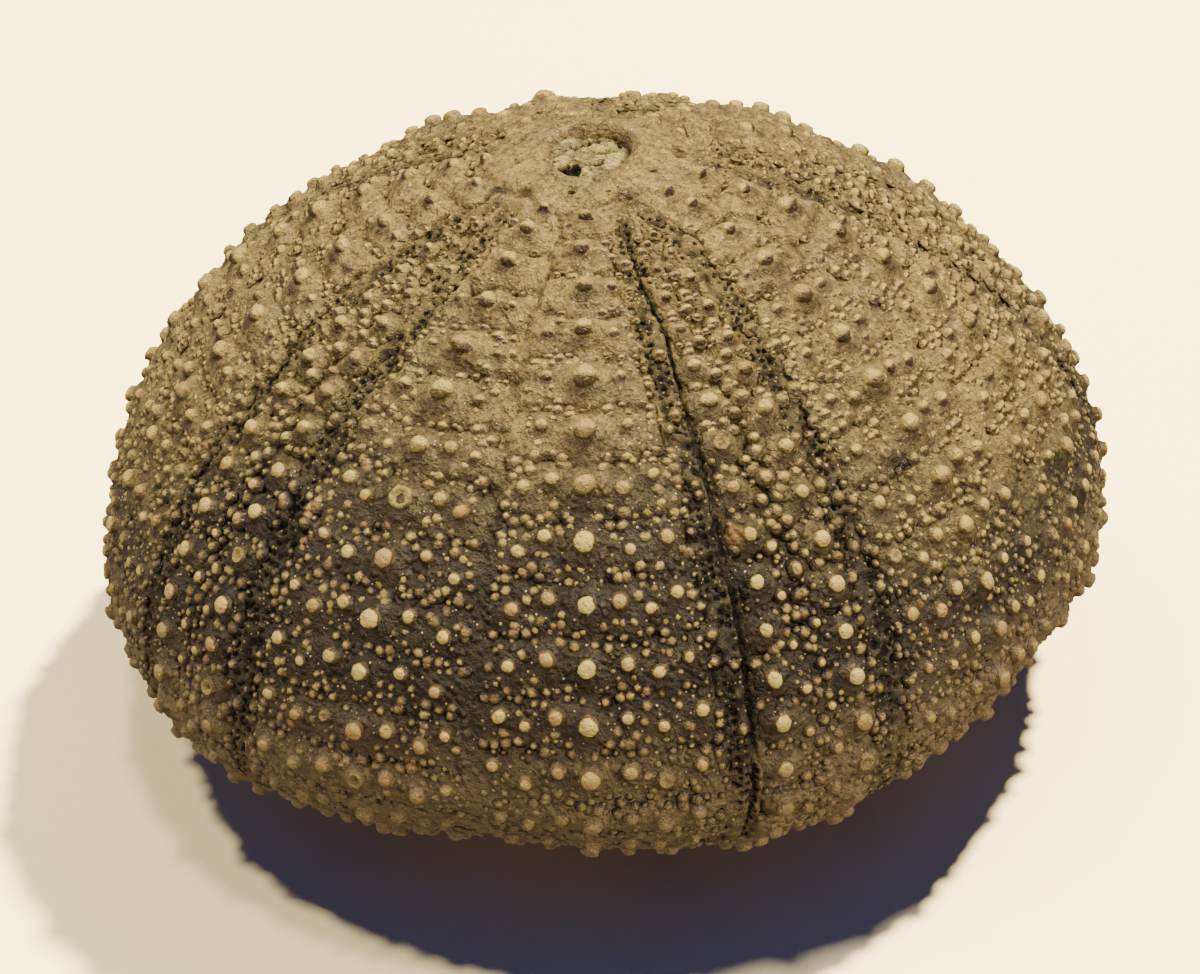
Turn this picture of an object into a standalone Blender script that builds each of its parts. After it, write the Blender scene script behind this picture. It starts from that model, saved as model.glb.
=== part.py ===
"""Fossil regular sea urchin, in two solids: the domed stone test with its plates
and tubercles, and the flaky fill that plugs the opening at its apex.

Run with: blender --background --python part.py

Metres, +Z up. The test rests at z = 0 on the flat ring around its mouth, and the
origin is under the middle of its outline. A point on the test is given by its
arc distance down from the apex and by its bearing, which runs from -Y towards +X.
Five broad interambulacra are centred on bearings 0, 72, 144, 216 and 288 degrees,
and the five narrow ambulacra lie halfway between them.
"""

import math

import bmesh
import bpy
import numpy as np
from mathutils import Vector

MM = 0.001
SECTORS = 5
SECTOR_ANGLE = math.tau / SECTORS

# The test's outline: superellipse arcs above and below its widest level
RADIUS = 35.0 * MM
DOME_HEIGHT = 26.0 * MM
BASE_DEPTH = 12.8 * MM
DOME_R_POWER = 1.10
DOME_Z_POWER = 1.07
BASE_R_POWER = 1.29
BASE_Z_POWER = 1.14
RING_RADIUS = 15.0 * MM        # outer edge of the flat ring that it rests on
MOUTH_RADIUS = 10.5 * MM       # inner edge of that ring
APEX_SHIFT = Vector((0.2, 1.9)) * MM
BASE_SHIFT = Vector((-0.8, -0.4)) * MM
LOBE_DOME = -0.007             # share by which interambulacra are pulled in
LOBE_BASE = -0.059

# Plate rows
DISC_ARC = 6.2 * MM            # arc distance where the plate columns start
AMBULACRUM_ARC = 9.5 * MM      # where the two rows of ambulacral plates part
PLATE_PITCH = (3.55 * MM, 29.0 * MM, 1.0)        # tallest row, its arc distance, and the
AMBULACRAL_PITCH = (2.85 * MM, 35.0 * MM, 0.8)   # loss per square metre of distance from it
WIDE_ROWS = (19.0 * MM, 57.0 * MM)   # where a plate's side fields part in two
ZIGZAG = 0.45 * MM             # swing of the median sutures
PRIMARY_BEARING = math.radians(12.3)   # primaries stand this far from their sector's middle
PRIMARY_CELL = 3.3 * MM
CROWDED_BEARING, CROWDED_CELL = 0.52, 0.24   # most of a narrow plate's half that they take
PORE_BAND = 2.15 * MM          # full width of a pore band
BAND_TAPER = (3.0 * MM, 4.0 * MM)   # arc distances over which a band opens below the apex
BAND_LOSS = 0.45               # share of its width that a band loses towards the mouth
AMBULACRUM_HALF = math.radians(6.6)
AMBULACRUM_TAPER = (8.0 * MM, 3.0 * MM)   # the same two for the ambulacrum between the bands
AMBULACRUM_WIDENING = math.radians(5.5)   # what its half width gains at the mouth
LOWER_SIDE = (50.0 * MM, 67.0 * MM)       # arc distances from the widest level to the mouth
FIELD_SHARE = 0.35             # plain middle field of an ambulacral plate, as a share of it

# Relief
PRIMARY_RISE = 1.0 * MM
AMBULACRAL_RISE = 0.8 * MM
SECONDARY_RISE = 0.95 * MM
BOSS_SHARE = 0.3               # run of a boss's slope, as a share of its field's short side
BOSS_STEEPNESS = 0.4           # most that it may rise, as a share of that side
LEAST_FIELD = 0.8 * MM         # narrower fields stay plain
LEAST_RISE = 0.15 * MM         # lower relief than this is left off
LEVEL = 0.05                   # faces that look down by less than this are not held back
REST_MARGIN = 0.2 * MM         # what relief keeps clear of the resting level

# Openings
PERIPROCT_RADIUS = 2.85 * MM
PIT_DEPTH = 1.5 * MM
PIT_DRAFT = 0.95               # the pit's floor radius, as a share of its rim
MOUTH_LIP = (0.4 * MM, 0.5 * MM)    # run and rise of the rounded edge of the mouth
MOUTH_NOTCH = (0.9 * MM, math.radians(5))   # depth and half width of its gill notches
MOUTH_WALL = (9.2 * MM, 1.6 * MM)   # radius and height of the recess's wall foot
MOUTH_FLOOR = (6.0 * MM, 3.0 * MM)  # radius and height of its inner floor

# Fill
FILL_RADIUS = 2.4 * MM
FILL_HALF_THICKNESS = 0.5 * MM
FILL_GAP = 0.3 * MM
FILL_LUMP = 0.1 * MM

PLAIN, PRIMARY, AMBULACRAL, SECONDARY = range(4)
PLATE_COLUMNS = ("median", "inner_split", "primary_in", "primary_out", "outer_split", "rail")


def smooth_step(low, high, value):
    """0 below low, 1 above high, with a smooth rise between."""
    u = min(1.0, max(0.0, (value - low) / (high - low)))
    return u * u * (3 - 2 * u)


# ---------------------------------------------------------------- outline

def meridian():
    """Arc distance from the apex, radius, height, and signed height share of a meridian."""
    angle = np.radians(np.linspace(90, -90, 1441))
    across, along = np.cos(angle).clip(0), np.abs(np.sin(angle))
    dome = angle >= 0
    radius = np.where(
        dome,
        RADIUS * across**DOME_R_POWER,
        RING_RADIUS + (RADIUS - RING_RADIUS) * across**BASE_R_POWER,
    )
    rise = np.where(dome, DOME_HEIGHT * along**DOME_Z_POWER, -BASE_DEPTH * along**BASE_Z_POWER)
    radius = np.append(radius, MOUTH_RADIUS)
    height = np.append(rise + BASE_DEPTH, 0.0)
    share = np.append(np.where(dome, along, -along), -1.0)
    arc = np.concatenate(([0.0], np.cumsum(np.hypot(np.diff(radius), np.diff(height)))))
    return arc, radius, height, share


ARC, ARC_RADIUS, ARC_HEIGHT, ARC_SHARE = meridian()
MOUTH_ARC = ARC[-1]
RING_ARC = ARC[-2]


def radius_at(arc):
    """Mean radius of the test at one arc distance."""
    return float(np.interp(arc, ARC, ARC_RADIUS))


def axis_shift(share):
    """Sideways lean of the test's axis, growing from the widest level up and down."""
    return APEX_SHIFT * share if share > 0 else BASE_SHIFT * -share


def surface_point(arc, bearing):
    """The point of the test's skin at one arc distance and bearing."""
    share = float(np.interp(arc, ARC, ARC_SHARE))
    lobe = LOBE_DOME + (LOBE_BASE - LOBE_DOME) * max(0.0, -share)
    radius = radius_at(arc) * (1 + lobe * math.cos(SECTORS * bearing))
    shift = axis_shift(share)
    return Vector((
        radius * math.sin(bearing) + shift.x,
        -radius * math.cos(bearing) + shift.y,
        float(np.interp(arc, ARC, ARC_HEIGHT)),
    ))


# ---------------------------------------------------------------- plate layout

def row_height(arc, pitch):
    """Height of a plate row at one arc distance."""
    tallest, tallest_arc, fall = pitch
    return tallest - fall * (arc - tallest_arc) ** 2


def half_steps(start, pitch):
    """Arc distances half a plate apart, from start to the mouth's edge."""
    steps = [start]
    while steps[-1] + 0.75 * row_height(steps[-1], pitch) < MOUTH_ARC:
        steps.append(steps[-1] + row_height(steps[-1], pitch) / 2)
    return steps


def staggered_edges(steps):
    """Row edges of two neighbour columns, which alternate by half a plate."""
    return [[steps[0], *steps[start::2], MOUTH_ARC] for start in (1, 2)]


def ambulacrum_half(arc):
    """Angle from an ambulacrum's middle to the inner edge of its pore band."""
    start, run = AMBULACRUM_TAPER
    opening = 1 - math.exp(-max(0.0, arc - start) / run)
    return AMBULACRUM_HALF * opening + AMBULACRUM_WIDENING * smooth_step(*LOWER_SIDE, arc)


def pore_band_width(arc):
    """Width of a pore band, which tapers towards the apex and the mouth."""
    start, run = BAND_TAPER
    opening = 1 - math.exp(-(arc - start) / run)
    return PORE_BAND * opening * (1 - BAND_LOSS * smooth_step(*LOWER_SIDE, arc))


def plate_half(arc):
    """Angle from an interambulacrum's middle to the outer edge of the pore band."""
    band = pore_band_width(arc) / radius_at(arc)
    return SECTOR_ANGLE / 2 - ambulacrum_half(arc) - band


def plate_column(name, arc):
    """Angle of one column line of an interambulacrum from its middle."""
    rail = plate_half(arc)
    half_cell = min(PRIMARY_CELL / 2 / radius_at(arc), CROWDED_CELL * rail)
    middle = min(PRIMARY_BEARING, CROWDED_BEARING * rail)
    lines = {
        "median": 0.0,
        "inner_split": (middle - half_cell) / 2,
        "primary_in": middle - half_cell,
        "primary_out": middle + half_cell,
        "outer_split": (middle + half_cell + rail) / 2,
        "rail": rail,
    }
    return lines[name]


def is_wide(row):
    """Whether the side fields of a plate row are broad enough to part in two."""
    return WIDE_ROWS[0] < sum(row) / 2 < WIDE_ROWS[1]


# ---------------------------------------------------------------- mosaic

def add_cell(bm, kind_layer, points, kind):
    """One face of the mosaic, from its corners' arc distances and bearings."""
    face = bm.faces.new([bm.verts.new(surface_point(*point)) for point in points])
    face[kind_layer] = kind


def zigzag(arc, side, middle, room):
    """The point where one column's row edge meets the median suture, which has room to swing in."""
    swing = min(ZIGZAG / radius_at(arc), room / 4) if DISC_ARC < arc < MOUTH_ARC else 0.0
    return arc, middle + side * swing


def row_edge(arc, first, last, split, side, middle):
    """Points along one row edge, from column line first to column line last."""
    names = PLATE_COLUMNS[PLATE_COLUMNS.index(first):PLATE_COLUMNS.index(last) + 1]
    points = []
    for name in names:
        if name == "median":
            points.append(zigzag(arc, side, middle, plate_column("primary_in", arc)))
        elif split or not name.endswith("split"):
            points.append((arc, middle + side * plate_column(name, arc)))
    return points


def cell_kind(first, row):
    """What grows on one field of an interambulacral plate."""
    if first == "primary_in":
        return PRIMARY
    return SECONDARY if is_wide(row) else PLAIN


def add_plate_column(bm, kind_layer, middle, side, edges, tips):
    """One column of interambulacral plates, each parted into fields."""
    rows = list(zip(edges[:-1], edges[1:]))
    for number, row in enumerate(rows):
        wide = is_wide(row)
        split_above = wide or (number > 0 and is_wide(rows[number - 1]))
        split_below = wide or (number < len(rows) - 1 and is_wide(rows[number + 1]))
        lines = [name for name in PLATE_COLUMNS if wide or not name.endswith("split")]
        for first, last in zip(lines[:-1], lines[1:]):
            above = row_edge(row[0], first, last, split_above, side, middle)
            below = row_edge(row[1], first, last, split_below, side, middle)
            notch = [row_edge(tip, "median", "median", False, -side, middle)[0]
                     for tip in tips if row[0] < tip < row[1] and first == "median"]
            add_cell(bm, kind_layer, above + below[::-1] + notch[::-1], cell_kind(first, row))


def add_ambulacral_column(bm, kind_layer, middle, side, edges, tips):
    """One column of ambulacral plates: a tubercle beside the pore band, and a plain field."""

    def line(arc, share):
        return arc, middle + side * share * ambulacrum_half(arc)

    def suture(arc, toward):
        return zigzag(arc, toward, middle, FIELD_SHARE * ambulacrum_half(arc))

    for row in zip(edges[:-1], edges[1:]):
        notch = [suture(tip, -side) for tip in tips if row[0] < tip < row[1]]
        if row[0] == AMBULACRUM_ARC:
            above = outer_above = [(AMBULACRUM_ARC, middle)]
        else:
            above = [suture(row[0], side), line(row[0], FIELD_SHARE)]
            outer_above = [line(row[0], FIELD_SHARE), line(row[0], 1)]
        below = [line(row[1], FIELD_SHARE), suture(row[1], side)]
        outer_below = [line(row[1], 1), line(row[1], FIELD_SHARE)]
        add_cell(bm, kind_layer, above + below + notch[::-1], PLAIN)
        add_cell(bm, kind_layer, outer_above + outer_below, AMBULACRAL)


def add_pore_band(bm, kind_layer, plate_line, ambulacral_line):
    """Triangles between two lines of points whose arc distances differ."""
    i = j = 0
    while i + 1 < len(plate_line) or j + 1 < len(ambulacral_line):
        at_end = j + 1 == len(ambulacral_line)
        if i + 1 < len(plate_line) and (at_end or plate_line[i + 1][0] <= ambulacral_line[j + 1][0]):
            add_cell(bm, kind_layer, (plate_line[i], plate_line[i + 1], ambulacral_line[j]), PLAIN)
            i += 1
        else:
            corners = (plate_line[i], ambulacral_line[j + 1], ambulacral_line[j])
            add_cell(bm, kind_layer, corners, PLAIN)
            j += 1


def add_sector(bm, kind_layer, middle, plate_edges, ambulacral_edges):
    """One interambulacrum, the ambulacrum after it and the two pore bands between them."""
    next_middle = middle + SECTOR_ANGLE
    ambulacrum = middle + SECTOR_ANGLE / 2
    for side, edges, tips in ((-1, plate_edges[0], plate_edges[1]), (1, plate_edges[1], plate_edges[0])):
        add_plate_column(bm, kind_layer, middle, side, edges, tips)
    columns = (
        (-1, ambulacral_edges[0], ambulacral_edges[1], middle, plate_edges[1]),
        (1, ambulacral_edges[1], ambulacral_edges[0], next_middle, plate_edges[0]),
    )
    for side, edges, tips, plates, plate_rows in columns:
        add_ambulacral_column(bm, kind_layer, ambulacrum, side, edges, tips)
        inner = [(DISC_ARC, ambulacrum), (AMBULACRUM_ARC, ambulacrum)]
        inner += [(arc, ambulacrum + side * ambulacrum_half(arc)) for arc in edges[1:]]
        outer = [(arc, plates - side * plate_half(arc)) for arc in plate_rows]
        add_pore_band(bm, kind_layer, outer, inner)


# ---------------------------------------------------------------- openings

def rim_edges(bm, at_apex):
    """The open edges of the mosaic, at the apex or at the mouth."""
    return [e for e in bm.edges if e.is_boundary and (e.verts[0].co.z > BASE_DEPTH) == at_apex]


def draw_ring(bm, edges, place):
    """Extrude open edges, put each new point where place says, and return the new edges."""
    made = bmesh.ops.extrude_edge_only(bm, edges=edges)["geom"]
    for vert in [g for g in made if isinstance(g, bmesh.types.BMVert)]:
        vert.co = place(vert.co.copy())
    return [g for g in made if isinstance(g, bmesh.types.BMEdge) and g.is_boundary]


def ring_point(old, centre, radius, height):
    """A point at the bearing that old has from centre, on a ring of that radius and height."""
    out = (old.xy - centre).normalized()
    return Vector((centre.x + out.x * radius, centre.y + out.y * radius, height))


def open_periproct(bm):
    """The apical disc's inner edge and the shallow pit inside it."""
    top = BASE_DEPTH + DOME_HEIGHT
    edges = rim_edges(bm, at_apex=True)
    for spread, height in ((1.0, top), (PIT_DRAFT, top - PIT_DEPTH)):
        edges = draw_ring(
            bm, edges, lambda old: ring_point(old, APEX_SHIFT, spread * PERIPROCT_RADIUS, height)
        )
    bmesh.ops.edgenet_fill(bm, edges=edges)


def open_mouth(bm):
    """The mouth's edge with its gill notches, and the filled recess inside it."""
    edges = rim_edges(bm, at_apex=False)
    run, rise = MOUTH_LIP
    depth, half_width = MOUTH_NOTCH

    def mouth_edge(old):
        out = old.xy - BASE_SHIFT
        bearing = math.atan2(out.x, -out.y)
        from_middle = abs((bearing + SECTOR_ANGLE / 2) % SECTOR_ANGLE - SECTOR_ANGLE / 2)
        near = 1 - smooth_step(0.0, half_width, abs(from_middle - plate_half(MOUTH_ARC)))
        return ring_point(old, BASE_SHIFT, out.length - run + depth * near, rise)

    edges = draw_ring(bm, edges, mouth_edge)
    for radius, height in (MOUTH_WALL, MOUTH_FLOOR):
        edges = draw_ring(bm, edges, lambda old: ring_point(old, BASE_SHIFT, radius, height))
    bmesh.ops.edgenet_fill(bm, edges=edges)


# ---------------------------------------------------------------- relief

def headroom(face):
    """How far a face may be raised and still stay above the resting level."""
    middle = face.calc_center_median()
    return math.inf if face.normal.z > -LEVEL else -middle.z / face.normal.z - REST_MARGIN


def raise_boss(bm, face, rise):
    """A flat-topped boss whose slopes run from the field's edges to its crown."""
    shortest = min(edge.calc_length() for edge in face.edges)
    height = min(rise, BOSS_STEEPNESS * shortest, headroom(face))
    if shortest > LEAST_FIELD and height > LEAST_RISE:
        bmesh.ops.inset_individual(
            bm, faces=[face], thickness=BOSS_SHARE * shortest, depth=height, use_even_offset=True
        )


def raise_peak(bm, face, rise):
    """A low pointed tubercle over one field."""
    height = min(rise, headroom(face))
    if height > LEAST_RISE:
        bmesh.ops.poke(bm, faces=[face], offset=height, center_mode="MEAN_WEIGHTED")


def raise_tubercles(bm, kind_layer):
    """Bosses on the primary fields and peaks on the secondary ones."""
    for kind, raise_field, rise in (
        (PRIMARY, raise_boss, PRIMARY_RISE),
        (AMBULACRAL, raise_boss, AMBULACRAL_RISE),
        (SECONDARY, raise_peak, SECONDARY_RISE),
    ):
        for face in [f for f in bm.faces if f[kind_layer] == kind]:
            raise_field(bm, face, rise)


# ---------------------------------------------------------------- objects

def stone_material(name, colour, roughness):
    """A plain stone finish."""
    material = bpy.data.materials.new(name)
    material.use_nodes = True
    shader = material.node_tree.nodes["Principled BSDF"]
    shader.inputs["Base Color"].default_value = (*colour, 1)
    shader.inputs["Roughness"].default_value = roughness
    shader.inputs["Metallic"].default_value = 0
    return material


def finish_object(bm, name, material):
    """Turn a bmesh into a named object with one material."""
    bmesh.ops.recalc_face_normals(bm, faces=bm.faces)
    mesh = bpy.data.meshes.new(name)
    bm.to_mesh(mesh)
    bm.free()
    mesh.materials.append(material)
    item = bpy.data.objects.new(name, mesh)
    bpy.context.scene.collection.objects.link(item)
    return item


def make_test():
    """The whole test: mosaic of plates, openings and tubercles, as one closed body."""
    bm = bmesh.new()
    kind_layer = bm.faces.layers.int.new("kind")
    plate_edges = staggered_edges(half_steps(DISC_ARC, PLATE_PITCH))
    ambulacral_edges = staggered_edges(half_steps(AMBULACRUM_ARC, AMBULACRAL_PITCH))[::-1]
    for sector in range(SECTORS):
        add_sector(bm, kind_layer, sector * SECTOR_ANGLE, plate_edges, ambulacral_edges)
    bmesh.ops.remove_doubles(bm, verts=bm.verts, dist=0.01 * MM)
    open_periproct(bm)
    open_mouth(bm)
    bmesh.ops.recalc_face_normals(bm, faces=bm.faces)
    raise_tubercles(bm, kind_layer)
    return finish_object(bm, "test", stone_material("test_stone", (0.29, 0.23, 0.14), 0.75))


def make_periproct_fill():
    """A flat lumpy lens lying in the pit at the apex."""
    bm = bmesh.new()
    bmesh.ops.create_icosphere(bm, subdivisions=2, radius=1)
    floor = BASE_DEPTH + DOME_HEIGHT - PIT_DEPTH
    centre = Vector((*APEX_SHIFT, floor + FILL_GAP + FILL_HALF_THICKNESS + FILL_LUMP))
    for vert in bm.verts:
        x, y, z = vert.co
        lump = FILL_LUMP * math.sin(5.1 * x + 1.3) * math.cos(4.3 * y - 0.6)
        rise = math.copysign(abs(z) ** 0.6, z) * FILL_HALF_THICKNESS + lump
        vert.co = centre + Vector((x * FILL_RADIUS, y * FILL_RADIUS, rise))
    return finish_object(bm, "periproct_fill", stone_material("fill_crust", (0.5, 0.46, 0.36), 0.85))


def main():
    for item in list(bpy.data.objects):
        bpy.data.objects.remove(item)
    make_test()
    make_periproct_fill()


main()
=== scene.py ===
"""Dressed model of a fossil sea urchin: a stony dome with tubercles, pore bands and a filled apical pit."""

import functools
import itertools
import math

import bmesh
import bpy
import numpy as np
from mathutils import Matrix, Vector, kdtree


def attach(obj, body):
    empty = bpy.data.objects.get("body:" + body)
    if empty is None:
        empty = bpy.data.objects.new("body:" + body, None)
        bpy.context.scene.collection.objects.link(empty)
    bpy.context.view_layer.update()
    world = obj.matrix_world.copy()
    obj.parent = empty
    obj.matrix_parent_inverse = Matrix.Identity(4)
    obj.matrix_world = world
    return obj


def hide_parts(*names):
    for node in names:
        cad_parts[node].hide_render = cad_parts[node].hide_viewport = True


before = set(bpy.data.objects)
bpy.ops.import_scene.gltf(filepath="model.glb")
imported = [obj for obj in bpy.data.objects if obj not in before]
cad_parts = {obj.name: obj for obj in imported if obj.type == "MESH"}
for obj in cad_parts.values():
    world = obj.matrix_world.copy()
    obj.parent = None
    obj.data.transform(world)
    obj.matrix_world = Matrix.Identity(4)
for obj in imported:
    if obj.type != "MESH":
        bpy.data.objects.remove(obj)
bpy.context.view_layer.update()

bl_info = {
    "name": "Fossil Sea Urchin",
    "version": (1, 0, 0),
    "blender": (4, 5, 0),
    "location": "View3D > Sidebar > Urchin",
    "description": "Builds a stony sea urchin test with its tubercles, pore bands and apical fill",
    "category": "Add Mesh",
}

MM = 0.001
SECTORS = 5
SECTOR_ANGLE = math.tau / SECTORS

# Outline of the test
RADIUS = 35.0 * MM
DOME_HEIGHT = 26.0 * MM
BASE_DEPTH = 12.8 * MM
APEX_HEIGHT = BASE_DEPTH + DOME_HEIGHT
DOME_R_POWER, DOME_Z_POWER = 1.10, 1.07
BASE_R_POWER, BASE_Z_POWER = 1.29, 1.14
RING_RADIUS = 15.0 * MM
MOUTH_RADIUS = 10.5 * MM
APEX_SHIFT = np.array((0.2, 1.9)) * MM
BASE_SHIFT = np.array((-0.8, -0.4)) * MM
LOBE_DOME, LOBE_BASE = -0.007, -0.059
REST_CLEARANCE = (0.35 * MM, 1.5 * MM)   # lift of the skin over the floor, and the height at which it fades

# Plate layout
DISC_ARC = 6.2 * MM
AMBULACRUM_ARC = 9.5 * MM
PLATE_PITCH = (3.55 * MM, 29.0 * MM, 1.0)
AMBULACRAL_PITCH = (2.85 * MM, 35.0 * MM, 0.8)
ZIGZAG = 0.45 * MM
PRIMARY_BEARING = math.radians(12.3)
CROWDED_BEARING = 0.52
PORE_BAND = 2.15 * MM
BAND_TAPER = (3.0 * MM, 4.0 * MM)
BAND_LOSS = 0.45
AMBULACRUM_HALF = math.radians(6.6)
AMBULACRUM_TAPER = (8.0 * MM, 3.0 * MM)
AMBULACRUM_WIDENING = math.radians(5.5)
LOWER_SIDE = (50.0 * MM, 67.0 * MM)

# Openings
PIT_EDGE_ARC = 3.3 * MM
PIT_STATIONS = (  # radius and depth below the apex, from the middle outwards
    (0.0, 2.0), (1.0, 2.0), (2.0, 1.9), (2.45, 1.6), (2.66, 1.1), (2.76, 0.6), (2.84, 0.3), (2.93, 0.12),
    (3.1, 0.05),
)
RECESS_STATIONS = (  # radius and height inside the mouth, from its lip inwards
    (10.25, 0.22), (9.95, 0.55), (9.6, 1.0), (9.2, 1.6), (8.2, 2.3), (7.0, 2.7), (5.5, 3.0), (4.0, 3.1),
    (2.5, 3.15), (1.2, 3.2), (0.0, 3.2),
)
NOTCH_DEPTH, NOTCH_HALF_WIDTH = 0.9 * MM, math.radians(5)
PIT_STRETCH, PIT_RIM_RISE = 0.45 * MM, 0.35 * MM

CRUST_RADIUS = 2.84 * MM

# Mesh density
SKIN_STEPS = 84   # columns of each fifth of the skin
SKIN_ROWS = ((8.0, 0.19), (31.0, 0.25), (50.0, 0.41), (80.0, 0.68))   # up to an arc distance, row spacing
BAND_COLUMNS, BAND_ROWS = 20, 420
SECONDARY_SIDES, GRANULE_SIDES = 10, 6

# Sizes that change down the side: arc distances from the apex and the size at each, in millimetres
PRIMARY_SIZE = (6, 9, 14, 20, 30, 38, 56, 70), (0.5, 0.66, 0.86, 1.03, 1.02, 0.88, 0.82, 0.58)
AMBULACRAL_SIZE = (9, 13, 18, 25, 44, 56, 70), (0.24, 0.4, 0.58, 0.76, 0.8, 0.74, 0.5)
GRANULE_PITCH = (5, 12, 19, 32, 60), (1.3, 0.95, 0.7, 0.74, 0.8)
CRACK_OFFSET = (8, 13, 18, 30, 50), (1.1, 0.75, 0.3, 0.3, 0.35)   # from the inner edge of its pore band
CRACK_BREADTH = (8, 14, 30, 46, 53), (0.08, 0.15, 0.18, 0.2, 0.1)

# Tubercles
FIRST_PRIMARY, FIRST_AMBULACRAL, FIRST_SECONDARY, FIRST_LESSER = 6.5 * MM, 10.0 * MM, 9.0 * MM, 15.0 * MM
PRIMARY_MARGIN, SECONDARY_MARGIN = 1.0 * MM, 2.0 * MM   # kept free at the mouth
KNOB_LIFT = 0.05 * MM   # of a knob's base line over the skin's mean level
WORN_SHARE, WORN_AMBULACRAL_SHARE = 0.06, 0.05
GRANULE_WOBBLE = 0.11
GRANULE_ZONES = (35 * MM, 50 * MM)   # arc distances at which one piece of granules ends and the next starts

# Profiles of the knobs: radius and height as shares of a knob's own
PRIMARY_PROFILE = (
    (1.65, -0.3), (1.42, 0.02), (1.15, 0.12), (0.92, 0.27), (0.8, 0.42), (0.68, 0.54), (0.66, 0.7),
    (0.62, 0.86), (0.5, 0.99), (0.28, 1.07), (0.0, 1.1),
)
SECONDARY_PROFILE = (
    (1.3, -0.3), (1.1, 0.06), (0.94, 0.3), (0.78, 0.52), (0.66, 0.72), (0.54, 0.88), (0.3, 1.0), (0.0, 1.04),
)
GRANULE_PROFILE = ((1.7, -0.4), (1.2, 0.0), (0.88, 0.4), (0.5, 0.76), (0.0, 0.92))

# Pore bands
PORE_PITCH, PORE_LANE = 0.62 * MM, 0.5 * MM
BAND_MARGIN, BAND_TOP, BAND_BOTTOM_ROOM, BAND_THICKNESS = 0.3 * MM, 6.9 * MM, 1.9 * MM, 1.3 * MM
CRACKED_BAND = (0, -1)   # number and side of the band with the long crack
CRACK_SPAN = (8 * MM, 53 * MM)

# Mounds under the tubercles: shares of a tubercle's radius
MOUND_HEIGHT, MOUND_REACH, MOAT_DEPTH = 0.46, 2.1, 0.09
LESSER_MOUND_HEIGHT, LESSER_MOUND_REACH = 0.22, 2.0
TRENCH_DEPTH = 0.55 * MM   # of the skin under the pore bands

# Fine cracks: arc distance in millimetres and bearing in degrees along each line, then its breadth and depth
CRACKS = (
    (((21.3, -10.8), (21.6, -9.2), (21.2, -7.4), (21.5, -5.0), (20.8, -3.0), (20.9, 4.0)), 0.12, 0.2),
    (((15.9, -8.5), (16.9, -5.2), (17.6, -3.4)), 0.14, 0.22),
    (((14.6, -19.0), (15.4, -15.5), (15.0, -11.0)), 0.14, 0.25),
    (((11.0, 1.0), (14.5, 0.4), (18.0, -1.2), (21.0, -2.4)), 0.1, 0.12),
    (((28.5, -15.5), (31.0, -14.6), (33.0, -12.0)), 0.1, 0.15),
)
BROKEN_PLACE, BROKEN_HALF = (15.1 * MM, math.radians(-15.0)), (0.42 * MM, 0.95 * MM)

# Apical disc and the crust in its opening
GENITAL_PORE_ARC, OCULAR_ARC = 4.9 * MM, 6.0 * MM
CRUST_TURN = math.radians(15)
CRUST_HOLES = (   # across, towards the back, and half widths, in millimetres
    (-1.45, -1.75, 1.1, 0.9), (0.35, 1.9, 0.5, 0.55), (0.9, -0.1, 0.8, 0.3), (-1.15, 1.1, 0.35, 0.4),
    (2.0, 1.4, 0.35, 0.55), (0.1, -1.3, 0.7, 0.25), (-1.2, -0.1, 0.25, 0.25), (-0.3, 1.3, 0.6, 0.3),
)

# Single stains: place on the skin in millimetres, reach, and which colour
STAINS = (
    ((23.2, -15.2, 27.2), 1.15, "black_and_hole_shade"), ((23.9, -14.5, 26.9), 0.85, "black_and_hole_shade"),
    ((32.4, -4.8, 20.8), 1.7, "soot_and_shade"), ((33.8, -3.6, 18.0), 1.5, "soot_and_shade"), ((33.2, -1.5, 19.6), 1.1, "soot_and_shade"),
    ((14.9, -23.9, 26.8), 0.9, "amber"), ((-3.7, -34.2, 14.9), 0.55, "amber"),
    ((1.6, -9.2, 37.0), 0.9, "honey"), ((-4.8, -2.6, 38.3), 1.1, "soot_and_shade"), ((4.2, -3.4, 38.2), 0.8, "soot_and_shade"),
)

# Stage
FLOOR_PROFILE = ((0.0, 0.0), (0.5, 0.0), (0.9, 0.0), (1.1, 0.03), (1.3, 0.14), (1.42, 0.3), (1.46, 0.6))
FLOOR_SIDES = 72
CAMERA_AZIMUTH, CAMERA_ELEVATION, CAMERA_ROLL = math.radians(15.2), math.radians(33.3), math.radians(-3.7)
CAMERA_DISTANCE, CAMERA_RISE, CAMERA_LENS = 0.2, 0.46 * MM, 84.0
LIGHTS = (   # name, direction, distance, power, size, colour, what it lights
    ("right_back", (0.33, 0.58, 1.0), 1.3, 15.5, 0.10, (1.0, 0.88, 0.6), "all"),
    ("left_back", (-0.42, 0.08, 1.0), 1.3, 5.0, 0.12, (1.0, 0.88, 0.58), "all"),
    ("overhead", (-0.03, 0.10, 1.0), 1.3, 7.5, 0.16, (1.0, 0.88, 0.6), "all"),
    ("right_back_floor", (0.33, 0.58, 1.0), 1.3, 110.0, 0.10, (1.0, 0.81, 0.34), "floor"),
    ("left_back_floor", (-0.42, 0.08, 1.0), 1.3, 12.0, 0.12, (1.0, 0.81, 0.34), "floor"),
    ("overhead_floor", (-0.03, 0.10, 1.0), 1.3, 5.0, 0.16, (1.0, 0.81, 0.34), "floor"),
    ("right_fill", (1.0, -0.25, 0.6), 1.3, 15.0, 0.7, (1.0, 0.86, 0.62), "urchin"),
    ("front_fill", (0.0, -1.0, 0.6), 1.4, 8.0, 1.0, (1.0, 0.86, 0.6), "urchin"),
    ("left_fill", (-1.0, -0.1, 0.5), 1.4, 9.0, 0.8, (1.0, 0.86, 0.62), "urchin"),
)
ROOM_ABOVE, ROOM_BELOW = (0.025, 0.045, 0.15), (0.4, 0.31, 0.19)


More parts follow.
